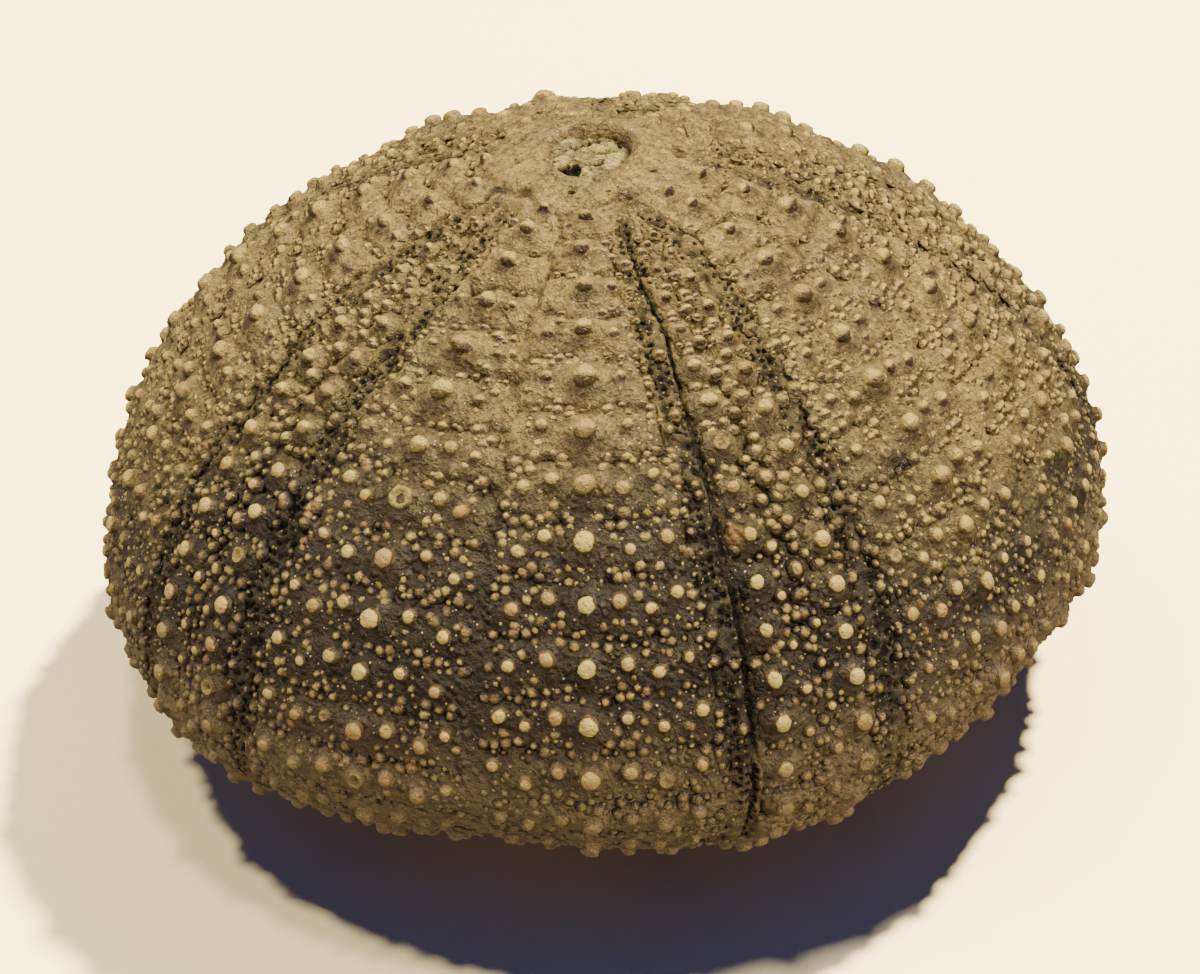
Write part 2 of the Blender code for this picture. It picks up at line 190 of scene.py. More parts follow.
def smooth_step(low, high, value):
    """0 below low, 1 above high, with a smooth rise between."""
    u = np.clip((value - low) / (high - low), 0.0, 1.0)
    return u * u * (3 - 2 * u)


def bump(distance, width):
    """A soft rise of height 1 that is about width broad to each side."""
    return np.exp(-(distance / width) ** 2)


def size_at(arc, table):
    """The size at each arc distance, from a table of arc distances and sizes in millimetres."""
    return np.interp(arc / MM, *table) * MM


def lumps(points, *waves):
    """Sum of smooth random lumps at each point; each wave has a size in millimetres, a height and a seed."""
    total = np.zeros(len(points))
    for size, height, seed in waves:
        cell = points / (size * MM) + seed * 7.31
        low = np.floor(cell)
        share = cell - low
        share = share * share * (3 - 2 * share)
        low = low.astype(np.int64)
        for corner in itertools.product((0, 1), repeat=3):
            at = low + np.array(corner)
            code = (at[:, 0] * 73856093) ^ (at[:, 1] * 19349663) ^ (at[:, 2] * 83492791) ^ (seed * 2654435)
            code = (code ^ (code >> 13)) * 1274126177 & 0x7FFFFFFF
            value = ((code ^ (code >> 16)) & 0xFFFF) / 32767.5 - 1
            weight = np.prod(np.where(np.array(corner) == 1, share, 1 - share), axis=1)
            total += weight * value * height
    return total


# ---------------------------------------------------------------- outline

def meridian():
    """Arc distance from the apex, radius, height, and signed height share of a meridian."""
    angle = np.radians(np.linspace(90, -90, 1441))
    across, along = np.cos(angle).clip(0), np.abs(np.sin(angle))
    dome = angle >= 0
    radius = np.where(
        dome,
        RADIUS * across**DOME_R_POWER,
        RING_RADIUS + (RADIUS - RING_RADIUS) * across**BASE_R_POWER,
    )
    rise = np.where(dome, DOME_HEIGHT * along**DOME_Z_POWER, -BASE_DEPTH * along**BASE_Z_POWER)
    radius = np.append(radius, MOUTH_RADIUS)
    height = np.append(rise + BASE_DEPTH, 0.0)
    share = np.append(np.where(dome, along, -along), -1.0)
    arc = np.concatenate(([0.0], np.cumsum(np.hypot(np.diff(radius), np.diff(height)))))
    return arc, radius, height, share


ARC, ARC_RADIUS, ARC_HEIGHT, ARC_SHARE = meridian()
MOUTH_ARC = ARC[-1]


def radius_at(arc):
    """Mean radius of the test at each arc distance."""
    return np.interp(arc, ARC, ARC_RADIUS)


def skin_point(arc, bearing):
    """Points of the test's skin at arc distances and bearings."""
    share = np.interp(arc, ARC, ARC_SHARE)
    lobe = LOBE_DOME + (LOBE_BASE - LOBE_DOME) * np.clip(-share, 0, 1)
    radius = radius_at(arc) * (1 + lobe * np.cos(SECTORS * bearing))
    up, down = np.clip(share, 0, 1)[..., None], np.clip(-share, 0, 1)[..., None]
    shift = APEX_SHIFT * up + BASE_SHIFT * down
    height = np.interp(arc, ARC, ARC_HEIGHT)
    lift, fade = REST_CLEARANCE
    return np.stack((
        radius * np.sin(bearing) + shift[..., 0],
        -radius * np.cos(bearing) + shift[..., 1],
        height + lift * np.exp(-height / fade),
    ), axis=-1)


def skin_frame(arc, bearing):
    """Unit vectors along the meridian, along the parallel, and out of the skin."""
    step = 0.2 * MM
    down = skin_point(arc + step, bearing) - skin_point(np.maximum(arc - step, 0), bearing)
    turn = skin_point(arc, bearing + 0.01) - skin_point(arc, bearing - 0.01)
    down /= np.maximum(np.linalg.norm(down, axis=-1, keepdims=True), 1e-9)
    out = np.cross(down, turn)
    out /= np.maximum(np.linalg.norm(out, axis=-1, keepdims=True), 1e-12)
    return down, np.cross(out, down), out


# ---------------------------------------------------------------- plate layout

def row_height(arc, pitch):
    """Height of a plate row at one arc distance."""
    tallest, tallest_arc, fall = pitch
    return tallest - fall * (arc - tallest_arc) ** 2


def half_steps(start, pitch):
    """Arc distances half a plate apart, from start to the mouth's edge."""
    steps = [start]
    while steps[-1] + 0.75 * row_height(steps[-1], pitch) < MOUTH_ARC:
        steps.append(steps[-1] + row_height(steps[-1], pitch) / 2)
    return steps


def staggered_edges(steps):
    """Row edges of two neighbour columns, which alternate by half a plate."""
    return [np.array([steps[0], *steps[start::2], MOUTH_ARC]) for start in (1, 2)]


PLATE_EDGES = staggered_edges(half_steps(DISC_ARC, PLATE_PITCH))
AMBULACRAL_EDGES = staggered_edges(half_steps(AMBULACRUM_ARC, AMBULACRAL_PITCH))[::-1]


def ambulacrum_half(arc):
    """Angle from an ambulacrum's middle to the inner edge of its pore band."""
    start, run = AMBULACRUM_TAPER
    opening = 1 - np.exp(-np.maximum(0.0, arc - start) / run)
    return AMBULACRUM_HALF * opening + AMBULACRUM_WIDENING * smooth_step(*LOWER_SIDE, arc)


def pore_band_width(arc):
    """Width of a pore band, which tapers towards the apex and the mouth."""
    start, run = BAND_TAPER
    opening = 1 - np.exp(-np.maximum(arc - start, 0.1 * MM) / run)
    return PORE_BAND * opening * (1 - BAND_LOSS * smooth_step(*LOWER_SIDE, arc))


def plate_half(arc):
    """Angle from an interambulacrum's middle to the outer edge of the pore band."""
    band = pore_band_width(arc) / np.maximum(radius_at(arc), MM)
    return SECTOR_ANGLE / 2 - ambulacrum_half(arc) - band


def from_middle(bearing):
    """Number of the nearest interambulacrum, and the signed angle from its middle."""
    number = np.round(bearing / SECTOR_ANGLE)
    return number.astype(int) % SECTORS, bearing - number * SECTOR_ANGLE


def row_edges(arc, edges):
    """The row edges above and below each arc distance."""
    after = np.clip(np.searchsorted(edges, arc), 1, len(edges) - 1)
    return edges[after - 1], edges[after]


def edge_distance(arc, edges):
    """Distance along the meridian to the nearest row edge."""
    above, below = row_edges(arc, edges)
    return np.minimum(np.abs(arc - above), np.abs(below - arc))


def row_share(arc, edges):
    """How far down its plate row each arc distance lies: 0 at the upper edge and 1 at the lower one."""
    above, below = row_edges(arc, edges)
    return np.clip((arc - above) / (below - above), 0, 1)


def zigzag_line(arc, edges_left, edges_right):
    """Sideways swing of a median suture, towards -1 at left row edges and +1 at right ones."""
    knots = np.concatenate((edges_left[1:-1], edges_right[1:-1]))
    swings = np.concatenate((-np.ones(len(edges_left) - 2), np.ones(len(edges_right) - 2)))
    order = np.argsort(knots)
    return ZIGZAG * np.interp(arc, knots[order], swings[order])


# ---------------------------------------------------------------- tubercle sites

class Sites:
    """Places, sizes and kinds of tubercles."""

    def __init__(self):
        self.parts = []

    def add(self, arc, bearing, radius, rise, wear=0.0):
        """Sites from arrays, or from arrays and single numbers."""
        self.parts.append(np.stack(np.broadcast_arrays(
            np.asarray(arc, float), bearing, radius, rise, wear), axis=-1))

    def table(self):
        """All sites as rows of arc, bearing, radius, rise and wear."""
        return np.concatenate(self.parts)


def column_rows(edges, above, below):
    """Middles and heights of a column's plate rows between two arc distances."""
    middle, height = (edges[1:] + edges[:-1]) / 2, np.diff(edges)
    keep = (middle > above) & (middle < below)
    return middle[keep], height[keep]


def primary_bearing(arc):
    """Angle from an interambulacrum's middle to its primaries."""
    return np.minimum(PRIMARY_BEARING, CROWDED_BEARING * plate_half(arc))


def ambulacral_bearing(arc):
    """Angle from an ambulacrum's middle to its primaries."""
    return 0.66 * ambulacrum_half(arc)


PRIMARY_KINDS = (  # row edges, turn, first arc, bearing, size, spread of the size, drift, worn share, height
    (PLATE_EDGES, 0.0, FIRST_PRIMARY, primary_bearing, PRIMARY_SIZE, (0.92, 1.08), 0.09, WORN_SHARE, 1.02),
    (AMBULACRAL_EDGES, SECTOR_ANGLE / 2, FIRST_AMBULACRAL, ambulacral_bearing, AMBULACRAL_SIZE, (0.88, 1.1),
     0.1, WORN_AMBULACRAL_SHARE, 1.0),
)


def primary_sites(rng):
    """The one main tubercle of every plate, in ten double columns."""
    sites = Sites()
    for sector, kind in itertools.product(range(SECTORS), PRIMARY_KINDS):
        double_column, turn, first, place, sizes, spread, drift, worn_share, height = kind
        middle = sector * SECTOR_ANGLE + turn
        for side, edges in zip((-1, 1), double_column):
            arc, _ = column_rows(edges, first, MOUTH_ARC - PRIMARY_MARGIN)
            bearing = middle + side * place(arc)
            size = size_at(arc, sizes) * rng.uniform(*spread, len(arc))
            wear = np.where(rng.random(len(arc)) < worn_share, 1.0, 0.0)
            shift = rng.normal(0, drift, (2, len(arc))) * MM
            sites.add(arc + shift[0], bearing + shift[1] / radius_at(arc), size, size * height, wear)
    return sites.table()


def field_sites(rng, arc, height, middle, side):
    """Secondaries of one plate: rows from its median seam to its primary, and on to its pore band."""
    radius, rail = radius_at(arc), plate_half(arc)
    main = min(PRIMARY_BEARING, CROWDED_BEARING * rail)
    full = float(smooth_step(16 * MM, 31 * MM, arc))
    spacing = (2.35 - 0.1 * full) * MM
    fields = ((0.0, main, 0.85 * MM, 1.3 * MM), (main, rail, 1.35 * MM, 0.5 * MM))
    for low, high, first_room, last_room in fields:
        length = (high - low) * radius - first_room - last_room
        count = int(max(0.0, length) / spacing + 0.75)
        for n in range(count):
            at = low + (first_room + (n + 0.5) / count * length) / radius
            away = abs(at - main) * radius
            stagger = (0.13 if (n + count) % 2 else -0.07) * height * full
            size = (0.5 + 0.18 * full) * rng.uniform(0.8, 1.12) * MM * (1 - 0.02 * away / MM)
            size *= float(np.interp(arc / MM, (50, 68), (1.0, 0.75)))
            drift, turn = rng.normal(0, 0.12) * MM, rng.normal(0, 0.16) * MM / radius
            wear = float(rng.random() < WORN_SHARE)
            yield [arc - stagger + drift], middle + side * at + turn, size, size * (0.85 + 0.15 * full), wear


def secondary_sites(rng):
    """Lesser tubercles in rows across the plates, on both sides of the main one."""
    sites = Sites()
    for sector in range(SECTORS):
        middle = sector * SECTOR_ANGLE
        for side, edges in zip((-1, 1), PLATE_EDGES):
            for arc, height in zip(*column_rows(edges, FIRST_SECONDARY, MOUTH_ARC - SECONDARY_MARGIN)):
                for site in field_sites(rng, arc, height, middle, side):
                    sites.add(*site)
        ambulacrum = middle + SECTOR_ANGLE / 2
        for side, edges in zip((-1, 1), AMBULACRAL_EDGES):
            arc, height = column_rows(edges, FIRST_LESSER, MOUTH_ARC - SECONDARY_MARGIN)
            bearing = ambulacrum + side * 0.2 * ambulacrum_half(arc)
            size = rng.uniform(0.36, 0.6, len(arc)) * MM
            shift = rng.normal(0, 0.2, (2, len(arc))) * MM
            sites.add(arc + 0.45 * height + shift[0], bearing + shift[1] / radius_at(arc), size, size * 0.85)
    return sites.table()


def tree_of(points):
    """A search tree of points."""
    tree = kdtree.KDTree(len(points))
    for number, point in enumerate(points):
        tree.insert(point, number)
    tree.balance()
    return tree


def clear_of(points, radii, others, other_radii, share):
    """Whether each point keeps its distance from every other site."""
    tree = tree_of(others)
    reach = float(other_radii.max() + radii.max())
    keep = np.ones(len(points), bool)
    for number, (point, radius) in enumerate(zip(points, radii)):
        for _, near, distance in tree.find_range(point, reach):
            if distance < share * (radius + other_radii[near]):
                keep[number] = False
                break
    return keep


def granule_rows(rng):
    """Crumb-sized tubercles in wavy rings all over the test."""
    sites = Sites()
    arc = 5.2 * MM
    while arc < MOUTH_ARC - 0.6 * MM:
        pitch = float(size_at(arc, GRANULE_PITCH))
        count = int(math.tau * radius_at(arc) / pitch)
        bearing = (np.arange(count) + rng.uniform(-0.36, 0.36, count)) / count * math.tau
        arcs = arc + rng.uniform(-0.33, 0.33, count) * pitch
        crowded = float(bump(arc - 29 * MM, 11 * MM))
        radii = 0.15 + (0.24 + 0.07 * crowded) * rng.random(count) ** (1.6 - 0.7 * crowded)
        sites.add(arcs, bearing, radii * MM, 0.0)
        arc += pitch * 0.86
    return sites.table()


def granule_sites(rng, larger):
    """Granules that fill the plates, clear of the larger tubercles, the bands, the crack and the seams."""
    table = granule_rows(rng)
    arc, bearing = table[:, 0], table[:, 1]
    radius = radius_at(arc)
    sector, away = from_middle(bearing)
    ambulacral = SECTOR_ANGLE / 2 - np.abs(away)
    half = ambulacrum_half(arc)
    inset = rng.uniform(-0.1, 0.45, len(table)) * MM / radius
    barred = (np.abs(away) > plate_half(arc) + inset) & (ambulacral > half + inset)
    barred &= rng.random(len(table)) > 0.1
    from_crack = (SECTOR_ANGLE / 2 - half - bearing) * radius - size_at(arc, CRACK_OFFSET)
    barred |= (np.abs(from_crack) < 0.55 * MM) & (np.abs(arc - 30 * MM) < 23 * MM)
    barred |= (np.abs(away) * radius < 0.7 * MM) & (arc > 7 * MM)
    density = np.select((arc < 8 * MM, arc >= 17 * MM, sector == 1), (0.22, 0.93, 0.42), 0.85)
    table = table[~barred & (rng.random(len(table)) < density)]
    points = skin_point(*table[:, :2].T)
    table = table[clear_of(points, table[:, 2], skin_point(*larger[:, :2].T), larger[:, 2], 0.92)]
    proud = 0.68 + 0.32 * smooth_step(20 * MM, 36 * MM, table[:, 0])
    table[:, 3] = table[:, 2] * rng.uniform(0.65, 1.05, len(table)) * proud
    return table


@functools.lru_cache
def all_sites(seed):
    """Primary and secondary tubercles and granules, clear of each other."""
    primaries = primary_sites(np.random.default_rng(seed))
    rng = np.random.default_rng(seed + 1)
    secondaries = secondary_sites(rng)
    points, others = skin_point(*secondaries[:, :2].T), skin_point(*primaries[:, :2].T)
    secondaries = secondaries[clear_of(points, secondaries[:, 2], others, primaries[:, 2], 1.0)]
    return primaries, secondaries, granule_sites(rng, np.concatenate((primaries, secondaries)))


def nearest_site(points, arc, sites):
    """Distance from each point to the nearest site, that site's radius, and how far below it the point is."""
    tree = tree_of(skin_point(sites[:, 0], sites[:, 1]))
    near = np.array([tree.find(point)[1:] for point in points])
    site = sites[near[:, 0].astype(int)]
    return near[:, 1], site[:, 2], arc - site[:, 0]


# ---------------------------------------------------------------- relief of the skin

def sutures(arc, away, points):
    """Distances to the nearest row suture and to the median one, and how far each plate stands over the next."""
    right_side, in_plates = away > 0, np.abs(away) < plate_half(arc)
    radius = np.maximum(radius_at(arc), MM)
    bow = bump((np.abs(away) - primary_bearing(arc)) * radius, 1.5 * MM) * in_plates
    wobble = arc + (lumps(points, (1.6, 0.3, 3), (0.8, 0.14, 4)) - 0.35 * bow) * MM
    left, right = (
        np.where(in_plates, edge_distance(wobble, plates), edge_distance(wobble, ambulacrals))
        for plates, ambulacrals in zip(PLATE_EDGES, AMBULACRAL_EDGES[::-1])
    )
    suture = np.where(right_side, right, left)
    left, right = (row_share(wobble, edges) for edges in PLATE_EDGES)
    shingle = np.where(right_side, right, left) ** 2 * in_plates
    from_axis = (SECTOR_ANGLE / 2 - np.abs(away)) * np.sign(away) * radius
    median = np.abs(np.where(
        in_plates,
        away * radius - zigzag_line(wobble, *PLATE_EDGES),
        from_axis - 0.5 * zigzag_line(wobble, *AMBULACRAL_EDGES),
    ))
    return suture, median, shingle


def band_trench(arc, away, points):
    """Where the skin drops under the pore bands: 1 inside a trench and 0 outside it."""
    room = np.minimum(np.abs(away) - plate_half(arc), SECTOR_ANGLE / 2 - np.abs(away) - ambulacrum_half(arc))
    room = room * np.maximum(radius_at(arc), MM) + (0.25 + lumps(points, (1.1, 0.42, 12), (0.5, 0.2, 13))) * MM
    trench = smooth_step(0.0, 0.35 * MM, room) * smooth_step(6.4 * MM, 8.0 * MM, arc)
    return trench * (1 - smooth_step(MOUTH_ARC - 2.5 * MM, MOUTH_ARC - 1.2 * MM, arc))


def boss_relief(arc, points, primaries, secondaries):
    """Lift of the mounds under the tubercles, the painted shade on the skin below them, and a ring of painted
    shade round the lesser ones.
    """
    distance, size, below = nearest_site(points, arc, primaries)
    ratio, below = distance / size, below / size
    # painted shade just below each primary, and a fainter crescent of painted shade at the lower edge of its
    # mound
    lee = smooth_step(0.1, 0.8, below) * bump(ratio - 1.0, 0.6)
    lee = np.maximum(lee, 0.6 * smooth_step(0.5, 1.7, below) * bump(ratio - 1.95, 0.3))
    lift = MOUND_HEIGHT * size * (1 - smooth_step(0.6, MOUND_REACH, ratio))
    lift -= MOAT_DEPTH * size * bump(ratio - 2.0, 0.3)
    distance, size, below = nearest_site(points, arc, secondaries)
    ratio, below = distance / size, below / size
    # painted shade just below each lesser tubercle
    lee = np.maximum(lee, 0.9 * smooth_step(0.1, 0.8, below) * bump(ratio - 1.0, 0.6))
    lift += LESSER_MOUND_HEIGHT * size * (1 - smooth_step(0.8, LESSER_MOUND_REACH, ratio))
    # the last value is a ring of painted shade round each lesser tubercle's foot
    return lift, lee, bump(ratio - 1.3, 0.4)


def skin_relief(arc, bearing, points, primaries, secondaries):
    """Lift of the skin along its normal and how dark it is painted: dark sutures, with painted shade in their
    crevices on the crown, and painted shade below and round the bosses.
    """
    away = from_middle(bearing)[1]
    suture, median, shingle = sutures(arc, away, points)
    trench = band_trench(arc, away, points)
    mound, lee, ring = boss_relief(arc, points, primaries, secondaries)
    on_plates = smooth_step(DISC_ARC, DISC_ARC + MM, arc)
    high = 1 - smooth_step(28 * MM, 42 * MM, arc)

    groove = np.maximum(bump(suture, 0.2 * MM), bump(median, 0.18 * MM))
    plates = 0.08 * smooth_step(0.0, 1.2 * MM, np.minimum(suture, median)) - groove * (0.08 + 0.16 * high)
    plates += shingle * (0.05 + 0.19 * high) - high * bump(median, 0.9 * MM) * 0.16
    folds = 1 - np.abs(lumps(points * np.array((1, 1, 1.4)), (1.25, 2, 14)))
    folds *= 0.045 + 0.03 * high
    lift = ((on_plates * plates + folds) * MM + mound) * (1 - trench) - TRENCH_DEPTH * trench
    lift += lumps(points, (2.6, 0.07, 5), (0.75, 0.055, 6)) * MM

    # dark sutures, which on the crown also carry painted shade in the crevices
    seam = np.maximum(bump(suture, 0.26 * MM), 0.7 * bump(median, 0.2 * MM)) * on_plates
    # darkness mask: dark seams plus painted shade under and round the tubercles
    dirt_and_shade = np.clip(0.9 * seam * high + lee * (0.4 + 0.6 * high) + 0.25 * ring, 0, 1)
    return lift, dirt_and_shade, trench


def damage_relief(arc, bearing, points):
    """Depth and darkening of the fine cracks and of the one broken plate, whose crescent-shaped opening is
    painted dark as its shadow.
    """
    depth, dirt_and_shade = np.zeros(len(arc)), np.zeros(len(arc))
    wobble = lumps(points, (0.5, 0.12, 41)) * MM
    x, y = points[:, 0], points[:, 1]
    for line, breadth, deep in CRACKS:
        knots = skin_point(np.array([a for a, _ in line]) * MM, np.radians([b for _, b in line]))
        for (x0, y0, _), (x1, y1, _) in zip(knots[:-1], knots[1:]):
            run_x, run_y = x1 - x0, y1 - y0
            along = np.clip(((x - x0) * run_x + (y - y0) * run_y) / (run_x**2 + run_y**2), 0, 1)
            away = np.hypot(x - x0 - along * run_x, y - y0 - along * run_y) + wobble
            depth = np.maximum(depth, bump(away, breadth * MM) * deep * MM)
            # darker along each fine crack
            dirt_and_shade = np.maximum(dirt_and_shade, bump(away, breadth * MM * 1.2))
    side = (bearing - BROKEN_PLACE[1]) * np.maximum(radius_at(arc), MM)
    down = arc - BROKEN_PLACE[0] + 0.25 * side + 0.3 * side**2 / MM
    gap = np.hypot(side / BROKEN_HALF[1], down / BROKEN_HALF[0])
    depth += 0.9 * MM * (1 - smooth_step(0.6, 1.05, gap))
    depth -= 0.3 * MM * bump(gap - 1.5, 0.45) * (down < 0) + 0.22 * MM * bump(gap - 2.0, 0.8) * (down > 0)
    # the broken plate's opening is painted dark as its shadow
    return depth, np.maximum(dirt_and_shade, 1 - smooth_step(0.7, 1.2, gap))


def disc_relief(arc, bearing, points):
    """Lift and darkening of the apical disc: five pierced plates with notched ones between their outer corners,
    with painted shade in the notches and dark seams.
    """
    _, away = from_middle(bearing)
    across = np.abs(away) * arc
    toward_axis = (SECTOR_ANGLE / 2 - np.abs(away)) * arc
    wobble = lumps(points, (0.8, 0.12, 8)) * MM
    seam_between = bump(toward_axis + wobble, 0.13 * MM) * (arc < OCULAR_ARC)
    outer = (7.5 - 2.0 * (np.abs(away) / (SECTOR_ANGLE / 2)) ** 0.8) * MM
    seam_outer = bump(arc - outer + wobble, 0.16 * MM)
    inside = 1 - smooth_step(-0.3, 0.3, (arc - outer) / MM)
    lift = inside * 0.12 * MM - np.maximum(seam_between * 0.5, seam_outer) * 0.16 * MM
    lift += bump(arc - 3.5 * MM, 0.35 * MM) * 0.12 * MM
    ocular = np.hypot(toward_axis / 0.75, (arc - OCULAR_ARC) / 0.55)
    notch = 1 - smooth_step(0.5 * MM, 1.2 * MM, ocular)
    lift -= notch * 0.4 * MM
    pore = np.hypot(across, arc - GENITAL_PORE_ARC)
    hole = 1 - smooth_step(0.22 * MM, 0.38 * MM, pore)
    lift += bump(pore - 0.55 * MM, 0.17 * MM) * 0.14 * MM - hole * 0.6 * MM
    worn_in = smooth_step(-0.35, 0.4, lumps(points, (2.4, 1, 15)))
    # painted shade in the ocular notches, and dark seams round and between the plates
    dirt_and_shade = np.clip(0.8 * notch + bump(arc - outer + wobble, 0.26 * MM) * worn_in + 0.6 * seam_between, 0, 1)
    fade = 1 - smooth_step(8.2 * MM, 9.5 * MM, arc)
    return lift * fade, dirt_and_shade * fade, hole


# ---------------------------------------------------------------- making meshes

def skin_profile():
    """Stations of the skin's profile: a running number and a radius, from the pit to the mouth recess."""
    arcs, arc = [], PIT_EDGE_ARC
    for limit, spacing in SKIN_ROWS:
        while arc < min(limit * MM, MOUTH_ARC - 0.2 * MM):
            arcs.append(arc)
            arc += spacing * MM
    arcs.append(MOUTH_ARC)
    pit = [(n - len(PIT_STATIONS), radius * MM) for n, (radius, _) in enumerate(PIT_STATIONS)]
    dome = [(arc, float(radius_at(arc))) for arc in arcs]
    recess = [(1.0 + n, radius * MM) for n, (radius, _) in enumerate(RECESS_STATIONS)]
    return pit + dome + recess


def chain_of(bm, places, closed=False):
    """The vertices through some places, and the same with the edges between them."""
    verts = [bm.verts.new(place) for place in places]
    ends = verts[1:] + (verts[:1] if closed else [])
    return verts, verts + [bm.edges.new(pair) for pair in zip(verts, ends)]


def spin_round(profile, steps):
    """A bmesh spun full round from (radius, height) pairs, with its poles closed."""
    bm = bmesh.new()
    _, chain = chain_of(bm, [(radius, 0, height) for radius, height in profile])
    bmesh.ops.spin(
        bm, geom=chain, cent=(0, 0, 0), axis=(0, 0, 1), angle=math.tau, steps=steps, use_merge=True
    )
    bmesh.ops.remove_doubles(bm, verts=[v for v in bm.verts if v.co.xy.length < 1e-6], dist=1e-5)
    return bm


def close_ends(bm):
    """Fill the open ends of a shape."""
    bmesh.ops.holes_fill(bm, edges=[e for e in bm.edges if e.is_boundary], sides=0)


def turn_outwards(bm):
    """Turn every face of a shape outwards."""
    bmesh.ops.recalc_face_normals(bm, faces=bm.faces)


def shape_of(bm):
    """Vertex places and faces of a bmesh, which is freed."""
    bm.verts.index_update()
    places = np.array([v.co[:] for v in bm.verts])
    faces = [[v.index for v in f.verts] for f in bm.faces]
    bm.free()
    return places, faces


def mesh_of(bm, name):
    """A mesh made from a bmesh, which is freed."""
    mesh = bpy.data.meshes.new(name)
    bm.to_mesh(mesh)
    bm.free()
    return mesh


def read_places(mesh):
    """Every vertex place of a mesh."""
    places = np.empty(len(mesh.vertices) * 3, np.float32)
    mesh.vertices.foreach_get("co", places)
    return places.reshape(-1, 3).astype(float)


def read_attribute(mesh, name):
    """One stored number per vertex of a mesh."""
    values = np.empty(len(mesh.vertices), np.float32)
    mesh.attributes[name].data.foreach_get("value", values)
    return values.astype(float)


def write_places(mesh, places):
    """Put every vertex of a mesh at its place."""
    mesh.vertices.foreach_set("co", np.ascontiguousarray(places, np.float32).ravel())
    mesh.update()


def add_attribute(mesh, name, values):
    """Store one number per vertex, for a material to read."""
    layer = mesh.attributes.new(name, "FLOAT", "POINT")
    layer.data.foreach_set("value", np.ascontiguousarray(values, np.float32))


def finish_piece(mesh, name, material, node="test"):
    """Show a mesh as one piece that stands for a node of the frame."""
    piece = bpy.data.objects.new(name, mesh)
    bpy.context.scene.collection.objects.link(piece)
    bpy.data.collections["urchin_only"].objects.link(piece)
    mesh.materials.append(material)
    mesh.polygons.foreach_set("use_smooth", np.ones(len(mesh.polygons), bool))
    mesh.update()
    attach(piece, "root")
    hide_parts(node)


def skin_sheet():
    """The skin spun from its profile as a flat sheet, whose vertices keep the numbers of their stations."""
    bm = bmesh.new()
    station = bm.verts.layers.float.new("station")
    profile = skin_profile()
    verts, chain = chain_of(bm, [(0, -radius, 0) for _, radius in profile])
    for vert, (number, _) in zip(verts, profile):
        vert[station] = number
    bmesh.ops.spin(
        bm, geom=chain, cent=(0, 0, 0), axis=(0, 0, 1), angle=SECTOR_ANGLE, steps=SKIN_STEPS, use_merge=False
    )
    fifth = bm.verts[:] + bm.edges[:] + bm.faces[:]
    for number in range(1, SECTORS):
        copy = bmesh.ops.duplicate(bm, geom=fifth)["geom"]
        bmesh.ops.rotate(
            bm, cent=(0, 0, 0), matrix=Matrix.Rotation(number * SECTOR_ANGLE, 3, "Z"),
            verts=[g for g in copy if isinstance(g, bmesh.types.BMVert)],
        )
    rims = [v for v in bm.verts if v.is_boundary or v.co.xy.length < 1e-7]
    for vert in bm.verts:   # keeps the profile's levels apart while seams close
        vert.co.z = vert[station] * (0.1 if vert[station] < 0 or vert[station] >= 1 else 1.0)
    bmesh.ops.remove_doubles(bm, verts=rims, dist=2e-6)
    return mesh_of(bm, "test_skin")


def pit_places(station, bearing):
    """Places of the skin inside the apical pit."""
    rim = skin_point(np.full(1, PIT_EDGE_ARC), np.zeros(1))[0, 2]
    numbers = np.arange(-len(PIT_STATIONS), 1)
    radii, depths = zip(*PIT_STATIONS, (PIT_EDGE_ARC / MM, (APEX_HEIGHT - rim) / MM))
    radius = np.interp(station, numbers, radii) * MM
    radius *= 1 + 0.05 * np.cos(2 * bearing) + 0.03 * np.sin(3 * bearing + 1)
    depth = np.interp(station, numbers, depths) * MM
    x, y = radius * np.sin(bearing) + APEX_SHIFT[0], -radius * np.cos(bearing) + APEX_SHIFT[1]
    places = np.stack((x, y, APEX_HEIGHT - depth), axis=-1)
    places[:, 2] += lumps(places, (0.7, 0.1, 9)) * MM
    return places


def recess_places(station, bearing):
    """Places of the skin inside the mouth recess, with its ten gill notches."""
    numbers = 1.0 + np.arange(len(RECESS_STATIONS))
    radii, heights = zip(*RECESS_STATIONS)
    away = np.abs(from_middle(bearing)[1])
    notch = 1 - smooth_step(0.0, NOTCH_HALF_WIDTH, np.abs(away - plate_half(MOUTH_ARC)))
    lip = skin_point(np.full(len(bearing), MOUTH_ARC), bearing)
    level = np.interp(station, numbers, heights) * MM
    reach = np.interp(station, numbers, radii) * MM / MOUTH_RADIUS
    near_lip = np.clip((reach - 0.8) / 0.18, 0, 1)
    centre = np.append(BASE_SHIFT, 0)
    outward = (lip - centre) / np.maximum(np.linalg.norm(lip - centre, axis=1, keepdims=True), 1e-9)
    places = centre + (lip - centre) * reach[:, None]
    places += outward * (notch * near_lip * NOTCH_DEPTH)[:, None]
    places[:, 2] = np.maximum(lip[:, 2], level) + notch * near_lip * 0.3 * MM
    places[:, 2] += lumps(places, (1.3, 0.22, 11)) * MM * (1 - near_lip)
    return places


